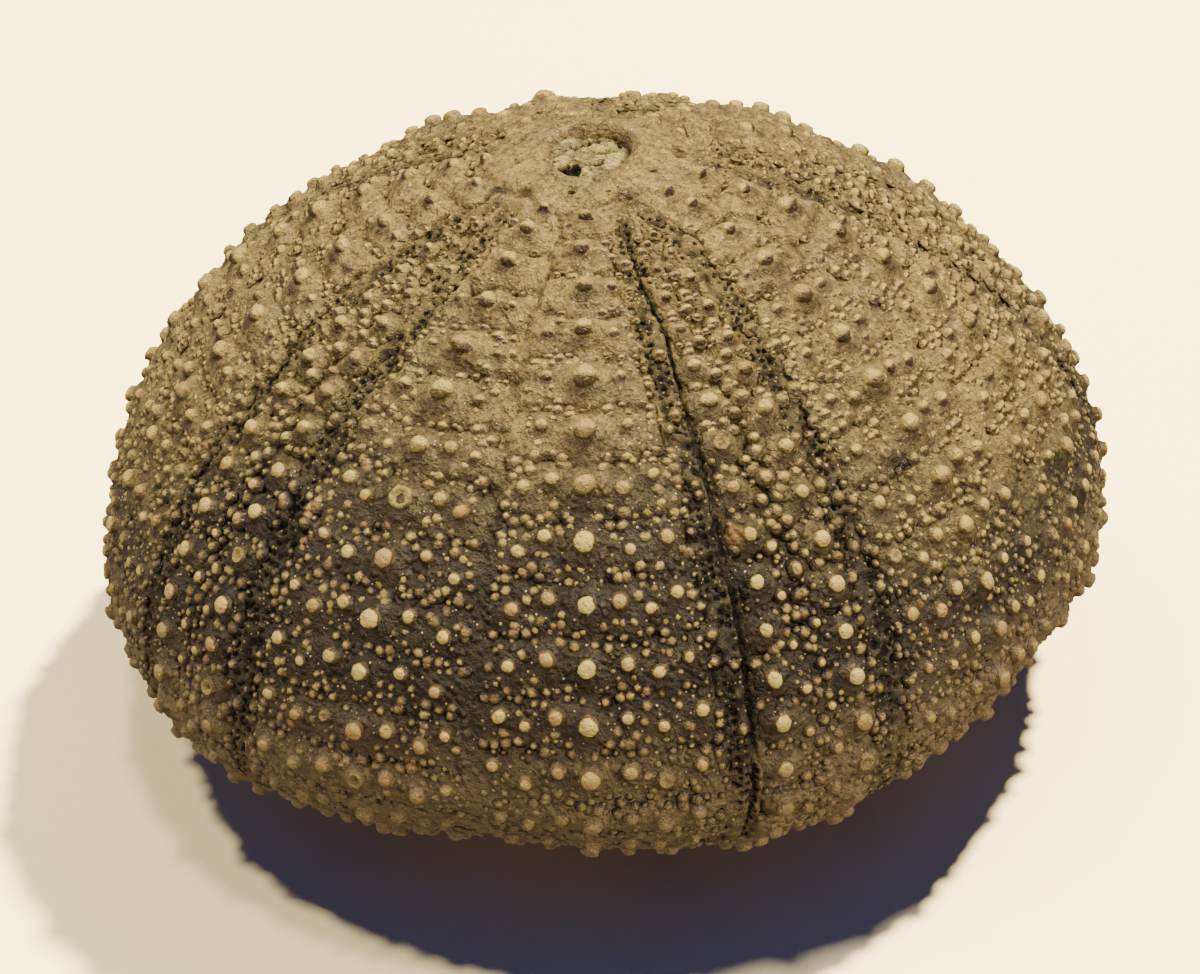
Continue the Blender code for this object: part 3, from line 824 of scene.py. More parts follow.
def make_skin(settings):
    """The closed skin of the test: a spun sheet that is wrapped over the outline and given its relief."""
    mesh = skin_sheet()
    raw, station = read_places(mesh), read_attribute(mesh, "station")
    bearing = np.arctan2(raw[:, 0], -raw[:, 1])
    pit, recess = station < 0, station >= 1
    arc = np.clip(np.where(pit, PIT_EDGE_ARC, station), 0, MOUTH_ARC)
    points, out = skin_point(arc, bearing), skin_frame(arc, bearing)[2]
    lift, dirt_and_shade, trench = skin_relief(arc, bearing, points, *all_sites(settings.seed)[:2])
    disc_lift, disc_darkening, hole = disc_relief(arc, bearing, points)
    on_disc = 1 - smooth_step(7.4 * MM, 8.6 * MM, arc)
    crack_depth, crack_darkening = damage_relief(arc, bearing, points)
    lift = lift * (1 - 0.7 * on_disc) + disc_lift - crack_depth
    lift *= 1 - smooth_step(MOUTH_ARC - 1.0 * MM, MOUTH_ARC, arc)
    dirt_and_shade = np.clip(np.maximum(dirt_and_shade * (1 - on_disc) + disc_darkening, 1.4 * crack_darkening), 0, 1)

    places = np.where(pit[:, None], pit_places(station, bearing), points + out * lift[:, None])
    upper = places[:, 2] > BASE_DEPTH
    places[upper] = drawn_back(places[upper])
    places = np.where(recess[:, None], recess_places(station, bearing), places)
    places[:, 2] = np.maximum(places[:, 2], 0.0)
    write_places(mesh, places)
    # the pit and the mouth recess are painted half dark as shade
    add_attribute(mesh, "dirt_and_shade", np.where(pit | recess, 0.5, dirt_and_shade))
    add_attribute(mesh, "trench", np.where(pit | recess, 0, trench))
    # painted shade: the genital pores and the deeper part of the pit are marked to go fully dark
    add_attribute(mesh, "hole", np.where(pit, 0.5 * smooth_step(-3.0, -5.0, station), hole))
    mesh.validate()
    return mesh


def drawn_back(places):
    """Places with the pit and the plates round it drawn out to the back, and the pit's far rim raised."""
    side, behind = places[:, 0] - APEX_SHIFT[0], places[:, 1] - APEX_SHIFT[1]
    reach = np.hypot(side, behind)
    share = 1 + behind / np.maximum(reach, PIT_EDGE_ARC)
    fade = 1 - smooth_step(PIT_EDGE_ARC, 8 * MM, reach)
    rim = smooth_step(2.7 * MM, PIT_EDGE_ARC, reach)
    places[:, 1] += PIT_STRETCH * share * fade
    places[:, 2] += PIT_RIM_RISE * (share / 2) ** 2 * fade * rim * (places[:, 2] > BASE_DEPTH)
    return places


def tiled_mesh(name, places, faces):
    """One mesh of many copies of a prototype, whose vertices are given copy by copy."""
    copies, size = places.shape[:2]
    totals = np.array([len(face) for face in faces])
    corners = np.concatenate([np.array(face) for face in faces])
    offsets = np.arange(copies) * size
    mesh = bpy.data.meshes.new(name)
    mesh.vertices.add(copies * size)
    mesh.loops.add(copies * len(corners))
    mesh.polygons.add(copies * len(faces))
    mesh.loops.foreach_set("vertex_index", (corners[None, :] + offsets[:, None]).ravel().astype(np.int32))
    starts = np.concatenate(([0], np.cumsum(np.tile(totals, copies))[:-1]))
    mesh.polygons.foreach_set("loop_start", starts.astype(np.int32))
    mesh.vertices.foreach_set("co", np.ascontiguousarray(places, np.float32).ravel())
    mesh.update(calc_edges=True)
    mesh.validate()
    return mesh


def knob_mesh(name, sites, profile, steps, rng, roughness):
    """Every knob of one kind, each a little different, standing on the skin."""
    bm = spin_round(profile, steps)
    close_ends(bm)
    turn_outwards(bm)
    prototype, faces = shape_of(bm)
    arc, bearing, size, rise, wear = sites.T
    down, along, out = skin_frame(arc, bearing)
    base = skin_point(arc, bearing) + out * KNOB_LIFT
    count = len(sites)
    turn = rng.uniform(0, math.tau, count)
    local = np.repeat(prototype[None], count, axis=0)
    stretch = rng.uniform(0.9, 1.12, (count, 2))
    x, y = local[:, :, 0] * stretch[:, :1], local[:, :, 1] * stretch[:, 1:]
    shift = rng.normal(0, roughness, local.shape)
    level = np.clip(local[:, :, 2], 0, None)
    lean = rng.normal(0, 0.07, (count, 2))
    x = x + shift[:, :, 0] + lean[:, :1] * level
    y = y + shift[:, :, 1] + lean[:, 1:] * level
    worn = wear[:, None] > 0.5
    z = local[:, :, 2] + shift[:, :, 2] * 0.6
    crater = 0.5 * np.clip(1 - np.hypot(x, y) / 0.5, 0, 1)
    z = np.where(worn, np.minimum(z, 0.8 + shift[:, :, 2]) - crater, z)
    cos, sin = np.cos(turn)[:, None], np.sin(turn)[:, None]
    u, v = (x * cos - y * sin) * size[:, None], (x * sin + y * cos) * size[:, None]
    places = (
        base[:, None] + down[:, None] * u[..., None] + along[:, None] * v[..., None]
        + out[:, None] * (z * rise[:, None])[..., None]
    )
    places[..., 2] = np.maximum(places[..., 2], 0.0)
    mesh = tiled_mesh(name, places, faces)
    # how far down its side each vertex of a knob lies, which sets the painted shade on the lower side and the
    # painted highlight on the upper half of the cap
    add_attribute(mesh, "lee", np.clip(0.5 + 0.5 * u / size[:, None], 0, 1).ravel())
    top = prototype[:, 2].max()
    add_attribute(mesh, "height", np.tile(np.clip(prototype[:, 2] / top, 0, 1), count))
    add_attribute(mesh, "shade", np.repeat(rng.random(count), len(prototype)))
    add_attribute(mesh, "worn", np.repeat(wear, len(prototype)))
    return mesh


def pore_distance(arc, across, width, band_code):
    """How far each place of a band is from a pore's middle, in millimetres; the rows of pores slant."""
    lane = np.floor(across / PORE_LANE)
    slant = arc + across * 0.35
    nearest = np.full(len(arc), 1.0)
    for d_row, d_lane in itertools.product((-1, 0, 1), repeat=2):
        this_lane = lane + d_lane
        this_row = np.floor(slant / PORE_PITCH) + d_row
        code = this_row * 127.1 + this_lane * 311.7 + band_code
        jitter_across = np.modf(np.abs(np.sin(code)) * 4375.85)[0] - 0.5
        jitter_along = np.modf(np.abs(np.sin(code * 1.7 + 3)) * 2741.3)[0] - 0.5
        across_at = (this_lane + 0.5 + 0.45 * jitter_across) * PORE_LANE
        slant_at = (this_row + 0.5 + 0.5 * (this_lane % 2) + 0.5 * jitter_along) * PORE_PITCH
        away = np.hypot((across - across_at) / 1.15, slant - slant_at) / MM / (1 + 0.5 * jitter_across)
        outside = (across_at < 0.12 * MM) | (across_at > width - 0.1 * MM)
        missing = (np.abs(np.sin(code * 2.3)) > 0.9) | outside
        nearest = np.where(missing, nearest, np.minimum(nearest, away))
    return nearest


def long_crack(arc, across, points):
    """The long crack down its band: 1 in its middle and 0 beside it."""
    upright = points * np.array((0.2, 0.2, 1))
    line = size_at(arc, CRACK_OFFSET) + lumps(upright, (1.3, 0.2, 23), (0.45, 0.1, 24)) * MM
    first, last = CRACK_SPAN
    return bump(across - line, size_at(arc, CRACK_BREADTH)) * ((arc > first) & (arc < last))


def pore_band(number, side, share, row, below, settings):
    """Places of one band, and its pore, crack, border and rise; below marks the strip's hidden underside."""
    arc = BAND_TOP + row * (MOUTH_ARC - BAND_BOTTOM_ROOM - BAND_TOP)
    width = pore_band_width(arc)
    across = share * (width + 2 * BAND_MARGIN) - BAND_MARGIN
    bearing = (number + 0.5) * SECTOR_ANGLE + side * (ambulacrum_half(arc) + across / radius_at(arc))
    points, out = skin_point(arc, bearing), skin_frame(arc, bearing)[2]
    pore = 1 - smooth_step(0.11, 0.23, pore_distance(arc, across, width, number * 74.7 + side * 19.3))
    lift = (lumps(points, (0.55, 0.22, 21), (0.3, 0.14, 22)) - 0.06) * MM
    rise = np.clip(0.5 + lift / (0.5 * MM), 0, 1)
    crack = long_crack(arc, across, points) if (number, side) == CRACKED_BAND else np.zeros(len(arc))
    edge = np.minimum(across + BAND_MARGIN, width + BAND_MARGIN - across)
    border = 1 - smooth_step(0.15 * MM, 0.75 * MM, edge)
    lift -= settings.pore_depth * pore + settings.crack_depth * crack
    lift -= 0.3 * MM * (1 - smooth_step(0.0, 0.3 * MM, edge))
    places = points + out * np.where(below, -BAND_THICKNESS, lift)[:, None]
    places[:, 2] = np.maximum(places[:, 2], 0.02 * MM)
    return places, [np.where(below, 0, mark) for mark in (pore, crack, border, rise)]


def make_pore_bands(settings):
    """Ten spongy strips, two to each ambulacrum, with pits in slanting rows and one long crack."""
    bm = bmesh.new()
    _, chain = chain_of(bm, [(column, 0, 0) for column in range(BAND_COLUMNS + 2)], closed=True)
    bmesh.ops.spin(
        bm, geom=chain, cent=(0, 0, 0), axis=(0, 0, 1), dvec=(0, 0, 1), angle=0,
        steps=BAND_ROWS, use_merge=False,
    )
    close_ends(bm)
    prototype, faces = shape_of(bm)
    column, row = prototype[:, 0], prototype[:, 2] / BAND_ROWS
    below = column >= BAND_COLUMNS
    share = np.where(below, np.where(column == BAND_COLUMNS, 0.9, 0.1), column / (BAND_COLUMNS - 1))
    places, marks = zip(*(
        pore_band(number, side, share, row, below, settings)
        for number, side in itertools.product(range(SECTORS), (-1, 1))
    ))
    mesh = tiled_mesh("pore_bands", np.stack(places), faces)
    for name, values in zip(("pore", "crack", "border", "rise"), zip(*marks)):
        add_attribute(mesh, name, np.concatenate(values))
    turned = bmesh.new()
    turned.from_mesh(mesh)
    turn_outwards(turned)
    turned.to_mesh(mesh)
    turned.free()
    return mesh


def crust_sheet():
    """A round sheet of radius 1 with a fine grid on top, a wall and a flat underside at -1."""
    bm = bmesh.new()
    bmesh.ops.create_grid(bm, x_segments=90, y_segments=90, size=1.0)
    bmesh.ops.delete(bm, geom=[v for v in bm.verts if v.co.xy.length > 1.0], context="VERTS")
    bmesh.ops.delete(bm, geom=[v for v in bm.verts if not v.link_faces], context="VERTS")
    skirt = bmesh.ops.extrude_edge_only(bm, edges=[e for e in bm.edges if e.is_boundary])["geom"]
    bmesh.ops.translate(bm, vec=(0, 0, -1), verts=[g for g in skirt if isinstance(g, bmesh.types.BMVert)])
    close_ends(bm)
    turn_outwards(bm)
    return mesh_of(bm, "apical_fill")


def make_fill(settings):
    """The flaky crust in the apical pit, with holes, which its finish paints dark as shade."""
    mesh = crust_sheet()
    x, y, level = read_places(mesh).T * CRUST_RADIUS
    below = level < -0.5 * CRUST_RADIUS
    flat = np.stack((x, y, np.zeros(len(x))), axis=-1)
    cos, sin = math.cos(CRUST_TURN), math.sin(CRUST_TURN)
    across, behind = x * cos + y * sin, y * cos - x * sin
    hole = np.zeros(len(x))
    ragged = lumps(flat, (0.5, 0.4, 31), (0.2, 0.25, 32))
    for hole_across, hole_behind, wide, deep in CRUST_HOLES:
        away = np.hypot((across / MM - hole_across) / wide, (behind / MM - hole_behind) / deep) + ragged
        hole = np.maximum(hole, 1 - smooth_step(0.75, 1.1, away))
    layer = lumps(flat, (0.9, 2.4, 33), (0.4, 1.44, 34), (0.17, 0.48, 35))
    ledge = np.floor(layer)
    flake = (ledge + smooth_step(0.78, 1.0, layer - ledge)) * 0.07 + lumps(flat, (0.2, 0.03, 37))
    reach = np.hypot(x, y) / CRUST_RADIUS
    # rim: where the crust drops at its right and back edge, which its finish paints dark as a shadow
    rim = smooth_step(0.72, 0.97, reach + lumps(flat, (0.7, 0.06, 36)))
    rim *= smooth_step(-0.2, 0.7, (across + 0.6 * behind) / CRUST_RADIUS)
    height = APEX_HEIGHT - settings.crust_depth
    height += flake * MM - 0.12 * MM * reach**2 - hole * 0.9 * MM - rim * 0.5 * MM
    height = np.where(below, APEX_HEIGHT - 1.7 * MM, height)
    write_places(mesh, drawn_back(np.stack((x + APEX_SHIFT[0], y + APEX_SHIFT[1], height), axis=-1)))
    add_attribute(mesh, "rim", np.where(below, 0, rim))
    add_attribute(mesh, "hole", np.where(below, 0, hole))
    add_attribute(mesh, "flake", np.clip(0.5 + 2.2 * flake, 0, 1))
    mesh.validate()
    return mesh


# ---------------------------------------------------------------- finishes

class Value:
    """A number socket that adds Math nodes when it stands in an expression."""

    def __init__(self, nodes, socket):
        self.nodes, self.socket = nodes, socket

    def _math(self, operation, *terms):
        return self.nodes.node("ShaderNodeMath", {"operation": operation}, dict(enumerate(terms)))

    def __add__(self, other):
        return self._math("ADD", self, other)

    def __sub__(self, other):
        return self._math("SUBTRACT", self, other)

    def __rsub__(self, other):
        return self._math("SUBTRACT", other, self)

    def __mul__(self, other):
        return self._math("MULTIPLY", self, other)

    __radd__, __rmul__ = __add__, __mul__

    def beside(self, output):
        """Another output of the node that this value comes from."""
        return Value(self.nodes, self.socket.node.outputs[output])

    def lower(self, other):
        """The lesser of two values."""
        return self._math("MINIMUM", self, other)

    def step(self, low, high):
        """0 below low and 1 above high, with a smooth rise; low may be above high."""
        limits = {"Value": self, "From Min": low, "From Max": high}
        return self.nodes.node("ShaderNodeMapRange", {"interpolation_type": "SMOOTHSTEP"}, limits)


class Nodes:
    """A node tree, with the one method that adds nodes to it."""

    def __init__(self, tree):
        self.tree = tree

    def node(self, kind, settings=None, inputs=None, output=0):
        """Add a node: its settings first, then the values or links of its sockets."""
        node = self.tree.nodes.new(kind)
        for name, value in (settings or {}).items():
            setattr(node, name, value)
        for key, value in (inputs or {}).items():
            self.feed(node.inputs[key], value)
        return Value(self, node.outputs[output])

    def feed(self, socket, value):
        """Link a value into a socket, or set the socket to a plain number or colour."""
        if isinstance(value, Value):
            self.tree.links.new(value.socket, socket)
        elif hasattr(value, "__len__") and len(value) == 3 and socket.type == "RGBA":
            socket.default_value = (*value, 1.0)
        else:
            socket.default_value = value

    def mix(self, share, first, second):
        """A colour between two colours."""
        inputs = {0: share, 6: first, 7: second}
        return self.node("ShaderNodeMix", {"data_type": "RGBA", "clamp_factor": True}, inputs, output=2)

    def layers(self, colour, *coats):
        """A colour under coats, each of which has a share and a colour of its own."""
        for share, coat in coats:
            colour = self.mix(share, colour, coat)
        return colour


class Finish(Nodes):
    """A material under construction, with the few node recipes that the pieces share."""

    def __init__(self, name, **fixed):
        self.material = bpy.data.materials.new(name)
        self.material.use_nodes = True
        super().__init__(self.material.node_tree)
        self.shader = self.tree.nodes["Principled BSDF"]
        for socket, number in fixed.items():
            self.shader.inputs[socket.replace("_", " ")].default_value = number
        self.place = self.node("ShaderNodeTexCoord", output="Object")

    def noise(self, size, detail, roughness, shift):
        """Fractal noise whose features are about size metres."""
        place = self.node("ShaderNodeMapping", None, {
            "Vector": self.place, "Location": (shift, shift * 0.7, -shift)})
        return self.node("ShaderNodeTexNoise", None, {
            "Vector": place, "Scale": 1 / size, "Detail": detail, "Roughness": roughness})

    def cells(self, size):
        """Distance to the nearest of scattered points, in cells of about size metres."""
        return self.node("ShaderNodeTexVoronoi", None, {"Vector": self.place, "Scale": 1 / size})

    def attribute(self, name):
        """A number stored on the piece's vertices."""
        return self.node("ShaderNodeAttribute", {"attribute_name": name}, output="Fac")

    def part(self, axis):
        """One coordinate of the place on the object."""
        return self.node("ShaderNodeSeparateXYZ", None, {0: self.place}, output=axis)

    def output(self, **channels):
        """Link the finished channels to the shader."""
        for name, value in channels.items():
            self.feed(self.shader.inputs[name.replace("_", " ")], value)
        return self.material


@functools.lru_cache
def darkness(finish):
    """How dark the stone is at a place, a stained zone deepened with painted shade: pale on the crown, darkest
    above the widest level in front.
    """
    sideways = finish.part("X")
    patches = finish.noise(9 * MM, 3.0, 0.6, 0.3) - 0.5
    level = finish.part("Z") + patches * (10 * MM) + sideways.step(12 * MM, 34 * MM) * (7.5 * MM)
    level = level + sideways.step(-13 * MM, -33 * MM) * (10 * MM)
    return level.step(38.5 * MM, 24.5 * MM)


@functools.lru_cache
def foot(finish):
    """How close a place is to the base: 0 on the sides and 1 at the bottom."""
    patches = finish.noise(6 * MM, 2.0, 0.5, 0.8) - 0.5
    return (finish.part("Z") + patches * (4 * MM)).step(20 * MM, 10.5 * MM)


@functools.lru_cache
def crests(finish):
    """Crisp little folds of the crust: 1 along their crests and 0 between them."""
    wide = finish.noise(1.3 * MM, 3.0, 0.6, 0.15) - 0.5
    fine = finish.noise(0.4 * MM, 2.0, 0.6, 0.45) - 0.5
    return (1 - (wide * wide * 80).lower(1.0)) * 0.65 + (1 - (fine * fine * 60).lower(1.0)) * 0.4


def stained(finish, colours, ground):
    """The ground with the few single stains on it."""
    ragged = (finish.noise(0.8 * MM, 3.0, 0.7, 0.25) - 0.5) * (1.6 * MM)
    for centre, reach, name in STAINS:
        ends = {0: finish.place, 1: tuple(x * MM for x in centre)}
        away = finish.node("ShaderNodeVectorMath", {"operation": "DISTANCE"}, ends, output="Value")
        spot = (away + ragged).step(reach * MM, reach * 0.35 * MM)
        ground = finish.mix(spot * 0.75, ground, getattr(colours, name))
    return ground


def glint_specks(finish, size, share):
    """Scattered flecks in a share of the cells of one size, used to paint glints: 1 on a fleck, 0 off it."""
    distance = finish.cells(size)
    chance = finish.node("ShaderNodeSeparateColor", None, {0: distance.beside("Color")})
    return distance.step(0.42, 0.25) * chance.step(1 - share, 1.02 - share)


def crumbs(finish):
    """Round crumbs that crowd the skin between the granules: 1 at a crumb's top, 0 between them."""
    tops = finish.cells(0.62 * MM).step(0.62, 0.05)
    return tops * finish.noise(1.6 * MM, 2.0, 0.6, 0.35).step(0.38, 0.6)


def ground_colour(finish, colours):
    """The skin's colour: tan on the crown, grey-brown and very dark lower down where a stained zone is deepened
    with painted shade, and a paler brown near the base that is partly painted bounce light; with painted shade
    in the hollows between the folds, painted highlights on their crests and painted glints.
    """
    stain_and_shade, low, crest = darkness(finish), foot(finish), crests(finish)
    crown = finish.mix(finish.noise(3.5 * MM, 4.0, 0.65, 0.1).step(0.35, 0.7), colours.tan, colours.khaki)
    blotch = finish.noise(2.2 * MM, 3.0, 0.6, 0.7).step(0.35, 0.68)
    deep = finish.mix(blotch, colours.grey_brown, colours.soot_and_shade)
    return finish.layers(
        crown,
        # darker zone: a stained zone deepened with painted shade; the paler brown near the base is partly
        # painted bounce light
        (stain_and_shade, finish.mix(low * 0.85, deep, colours.umber_and_bounce_light)),
        # painted shade in the hollows between the folds
        (crest.step(0.42, 0.05) * (0.62 - stain_and_shade * 0.3), finish.mix(stain_and_shade, colours.dirt_and_shade, colours.soot_and_shade)),
        # painted highlights on the crests of the folds
        (crest.step(0.6, 1.0) * (0.3 - stain_and_shade * 0.26), colours.cream_and_highlight),
        (finish.noise(0.5 * MM, 3.0, 0.7, 0.5).step(0.56, 0.36) * 0.3, colours.soot_and_shade),
        # painted glints
        (glint_specks(finish, 0.2 * MM, 0.05) * (0.8 - low * 0.65), colours.glint),
    )


def stone_bump(finish, extra=None):
    """Folds and fine grain of the stone."""
    height = finish.noise(0.26 * MM, 3.0, 0.65, 0.2) * 0.4 + crests(finish) * (0.85 - darkness(finish) * 0.45)
    if extra is not None:
        height = height + extra
    return finish.node("ShaderNodeBump", None, {"Height": height, "Distance": 0.26 * MM, "Strength": 1.0})


def skin_finish(colours):
    """Stone skin with dark seams, and painted shade in its crevices, under and round the bosses, in the trenches
    under the bands, in the pit and in the pores.
    """
    finish = Finish("stone_skin", Specular_IOR_Level=0.5)
    stain_and_shade, crest, trench = darkness(finish), crests(finish), finish.attribute("trench")
    crumb = crumbs(finish) * (1 - trench)
    dirt_and_shade = finish.attribute("dirt_and_shade") * finish.noise(0.9 * MM, 3.0, 0.6, 0.4).step(0.2, 0.52)
    ground = finish.layers(
        stained(finish, colours, ground_colour(finish, colours)),
        # bark over the dark seams and the painted shade under and round the knobs
        (dirt_and_shade * 0.85, colours.bark),
        # painted shade in the trenches under the pore bands
        (trench * 0.7, colours.soot_and_shade),
        # painted shade: the genital pores and the deep pit go dark
        (finish.attribute("hole"), colours.black_and_hole_shade),
        (crumb.step(0.45, 0.95) * (0.4 - stain_and_shade * 0.3), finish.mix(0.5, colours.khaki, colours.honey)),
    )
    rough = 0.66 - crest.step(0.45, 0.95) * (0.4 - stain_and_shade * 0.28)
    return finish.output(Base_Color=ground, Roughness=rough, Normal=stone_bump(finish, crumb * 1.2))


def knob_finish(name, colours, cap_bottom, cap_top, whiteness, dimming=0.0):
    """Stone knob: boss of the ground's colour, painted shade round its foot and on its lower side, and a pale
    cap, which on the crown is pale only on its upper half as a painted highlight.
    """
    finish = Finish(name)
    stain_and_shade, low = darkness(finish), foot(finish)
    height, shade, lee = (finish.attribute(word) for word in ("height", "shade", "lee"))
    speck = finish.noise(0.3 * MM, 2.0, 0.6, 0.8) - 0.5
    level = height + speck * 0.24
    # painted shade on the knob's lower side
    below = (lee + speck * 0.3).step(0.5, 0.68) * level.step(0.1, 0.35) * level.step(1.1, 0.94)
    # painted highlight: on the crown only the upper half of the cap is pale
    soft = level.step(0.4, 0.85) * (1 - lee.step(0.46, 0.62)) * 0.9
    crisp = level.step(cap_bottom, cap_top) * whiteness
    cap = (soft + (crisp - soft) * stain_and_shade * stain_and_shade) * (1 - low * 0.9) * (1 - shade * dimming)
    cap_colour = finish.layers(
        colours.cream_and_highlight,
        (shade.step(0.45, 0.95), colours.honey_pale),
        (shade.step(0.985, 1.0) * 0.9, colours.amber),
    )
    body = finish.layers(
        ground_colour(finish, colours),
        (level.step(0.15, 0.6) * (0.7 - stain_and_shade * 0.32), finish.mix(stain_and_shade, colours.tan, colours.honey)),
        # painted shade round the knob's foot, where it meets the skin
        (level.step(0.42, 0.08) * (0.35 + stain_and_shade * 0.35), finish.mix(stain_and_shade, colours.dirt_and_shade, colours.soot_and_shade)),
        # bark paints the shade on the lower side
        (below * (0.97 - stain_and_shade * stain_and_shade * 0.8), colours.bark),
        (cap, cap_colour),
        (finish.attribute("worn") * height.step(0.5, 0.8) * 0.6, colours.khaki),
    )
    body = stained(finish, colours, body)
    rough = 0.48 - crests(finish).step(0.4, 0.95) * 0.2
    return finish.output(Base_Color=body, Roughness=rough, Normal=stone_bump(finish))


def band_finish(colours):
    """Spongy dark band with painted shade in its hollows, pores and crack, painted highlights on its tops, and
    bright grit painted as glints.
    """
    finish = Finish("pore_band", Specular_IOR_Level=0.3)
    stain_and_shade, ground, rise = darkness(finish), ground_colour(finish, colours), finish.attribute("rise")
    border = finish.attribute("border") + (finish.noise(0.6 * MM, 2.0, 0.6, 0.15) - 0.5) * 1.8
    grit_glints = glint_specks(finish, 0.24 * MM, 0.22)
    base = finish.layers(
        finish.mix(stain_and_shade, finish.mix(0.25, colours.khaki, colours.moss), colours.moss_dark),
        # painted shade in the band's hollows
        (rise.step(0.55, 0.1) * 0.75, colours.soot_and_shade),
        # painted highlights on the band's tops
        (rise.step(0.5, 0.95) * 0.35, colours.honey),
        (border.step(0.1, 0.8) * 0.85, ground),
        (foot(finish) * 0.65, ground),
        # bright grit painted as glints
        (grit_glints * (0.75 - stain_and_shade * 0.3), colours.cream_and_highlight),
        # painted shade: the pores go dark
        (finish.attribute("pore").step(0.25, 0.8), colours.black_and_hole_shade),
        # painted shade: the crack goes dark
        (finish.attribute("crack").step(0.3, 0.7), colours.black_and_hole_shade),
    )
    return finish.output(Base_Color=base, Roughness=0.6 - grit_glints * 0.3, Normal=stone_bump(finish))


def fill_finish(colours):
    """Dry whitish crust with its holes painted dark as shade and a painted shadow along its right and back rim.
    """
    finish = Finish("apical_crust", Roughness=0.8)
    flake = finish.attribute("flake")
    base = finish.layers(
        colours.crust_grey,
        (finish.noise(0.9 * MM, 4.0, 0.65, 0.3).step(0.4, 0.56), colours.crust),
        (finish.noise(0.6 * MM, 4.0, 0.7, 0.6).step(0.49, 0.4) * 0.9, colours.moss_dark),
        (flake.step(0.45, 0.2) * 0.6, colours.moss),
        # painted shadow along the crust's rim at the right and back
        (finish.attribute("rim").step(0.2, 0.9) * 0.85, colours.dirt_and_shade),
        # painted shade: the holes go dark
        (finish.attribute("hole").step(0.15, 0.6), colours.black_and_hole_shade),
    )
    return finish.output(Base_Color=base, Normal=stone_bump(finish, flake))


def floor_finish(colours):
    """Plain pale board with the faintest mottling."""
    finish = Finish("pale_floor", Roughness=0.75)
    tone = finish.noise(30 * MM, 2.0, 0.5, 0.1).step(0.3, 0.7) * 0.25
    return finish.output(Base_Color=finish.mix(tone, colours.floor, colours.floor_shade))


# ---------------------------------------------------------------- settings

def colour_property(name, description, default):
    """A colour that the user can change."""
    return bpy.props.FloatVectorProperty(
        name=name, description=description, default=default, size=3, subtype="COLOR", min=0.0, max=1.0
    )


def depth_property(name, description, default):
    """A depth in metres that the user can change."""
    return bpy.props.FloatProperty(
        name=name, description=description, default=default, min=0.0, max=MM, precision=5, unit="LENGTH"
    )


class UrchinSettings(bpy.types.PropertyGroup):
    """Sizes of the urchin's detail."""

    seed: bpy.props.IntProperty(name="Seed", description="Start of the random variation", default=7, min=0)
    primary_sides: bpy.props.IntProperty(
        name="Primary Sides", description="Sides of a primary tubercle", default=12, min=6, max=16)
    knob_wobble: bpy.props.FloatProperty(
        name="Knob Wobble", description="Unevenness of the tubercles, as a share of their radius",
        default=0.035, min=0.0, max=0.2, subtype="FACTOR")
    pore_depth: depth_property("Pore Depth", "Depth of the pores in the bands", 0.3 * MM)
    crack_depth: depth_property("Crack Depth", "Depth of the long crack in the front band", 0.45 * MM)
    crust_depth: depth_property("Crust Depth", "How far the crust lies below the apex", 0.12 * MM)


class UrchinColours(bpy.types.PropertyGroup):
    """Colours of the urchin's stone, crust and stains, and of the painted shade, highlights and glints on them.
    """

    tan: colour_property("Tan", "Pale skin on the crown", (0.42, 0.31, 0.112))
    khaki: colour_property("Khaki", "Greyer skin on the crown", (0.285, 0.21, 0.08))
    # darker zone: a stained zone deepened with painted shade
    grey_brown: colour_property("Grey Brown", "Stained skin on the sides", (0.027, 0.0185, 0.0083))
    # darkest colour: real stains, and painted shade in trenches, hollows and the darker zone
    soot_and_shade: colour_property("Soot", "Darkest stain", (0.0115, 0.0083, 0.005))
    # paler warm brown near the base, partly painted bounce light
    umber_and_bounce_light: colour_property("Umber", "Warm brown skin near the base", (0.28, 0.2, 0.095))
    # painted shade: hollows between folds, knob feet and the crust's rim
    dirt_and_shade: colour_property("Dirt", "Dirt in seams and around necks", (0.09, 0.055, 0.025))
    # painted shade under and round the knobs, and the dark seams
    bark: colour_property("Bark", "Dark brown dirt under knobs and in seams", (0.055, 0.031, 0.0125))
    honey: colour_property("Honey", "Boss of a tubercle on stained skin", (0.26, 0.165, 0.065))
    honey_pale: colour_property("Pale Honey", "Cap of a browner tubercle", (0.56, 0.38, 0.12))
    amber: colour_property("Amber", "Cap of a stained tubercle", (0.36, 0.205, 0.05))
    # the caps' own pale colour, also used for painted highlights on the crests and painted glints in the bands
    cream_and_highlight: colour_property("Cream", "Cap of a clean tubercle", (0.78, 0.6, 0.17))
    # painted highlights: glints flecked over the skin
    glint: colour_property("Glint", "Bright flakes in the crust", (0.92, 0.8, 0.5))
    moss: colour_property("Moss", "Dark greenish pore band", (0.10, 0.08, 0.042))
    moss_dark: colour_property("Dark Moss", "Pore band on stained skin", (0.05, 0.043, 0.026))
    # painted shade in the pores, holes and the crack, and the darkest single stains
    black_and_hole_shade: colour_property("Black", "Pores, holes and the crack", (0.006, 0.005, 0.004))
    crust: colour_property("Crust", "Pale crust in the apical pit", (0.62, 0.495, 0.185))
    crust_grey: colour_property("Grey Crust", "Greyer crust in the apical pit", (0.27, 0.22, 0.095))
    floor: colour_property("Floor", "Pale floor", (0.93, 0.87, 0.72))
    floor_shade: colour_property("Floor Shade", "Slightly darker patches of the floor", (0.88, 0.82, 0.67))


# ---------------------------------------------------------------- operators

class SkinOperator(bpy.types.Operator):
    """Build the stone skin of the test"""

    bl_idname = "urchin.skin"
    bl_label = "Stone Skin"

    def execute(self, context):
        scene = context.scene
        finish_piece(make_skin(scene.urchin), "test_skin", skin_finish(scene.urchin_colours))
        return {"FINISHED"}


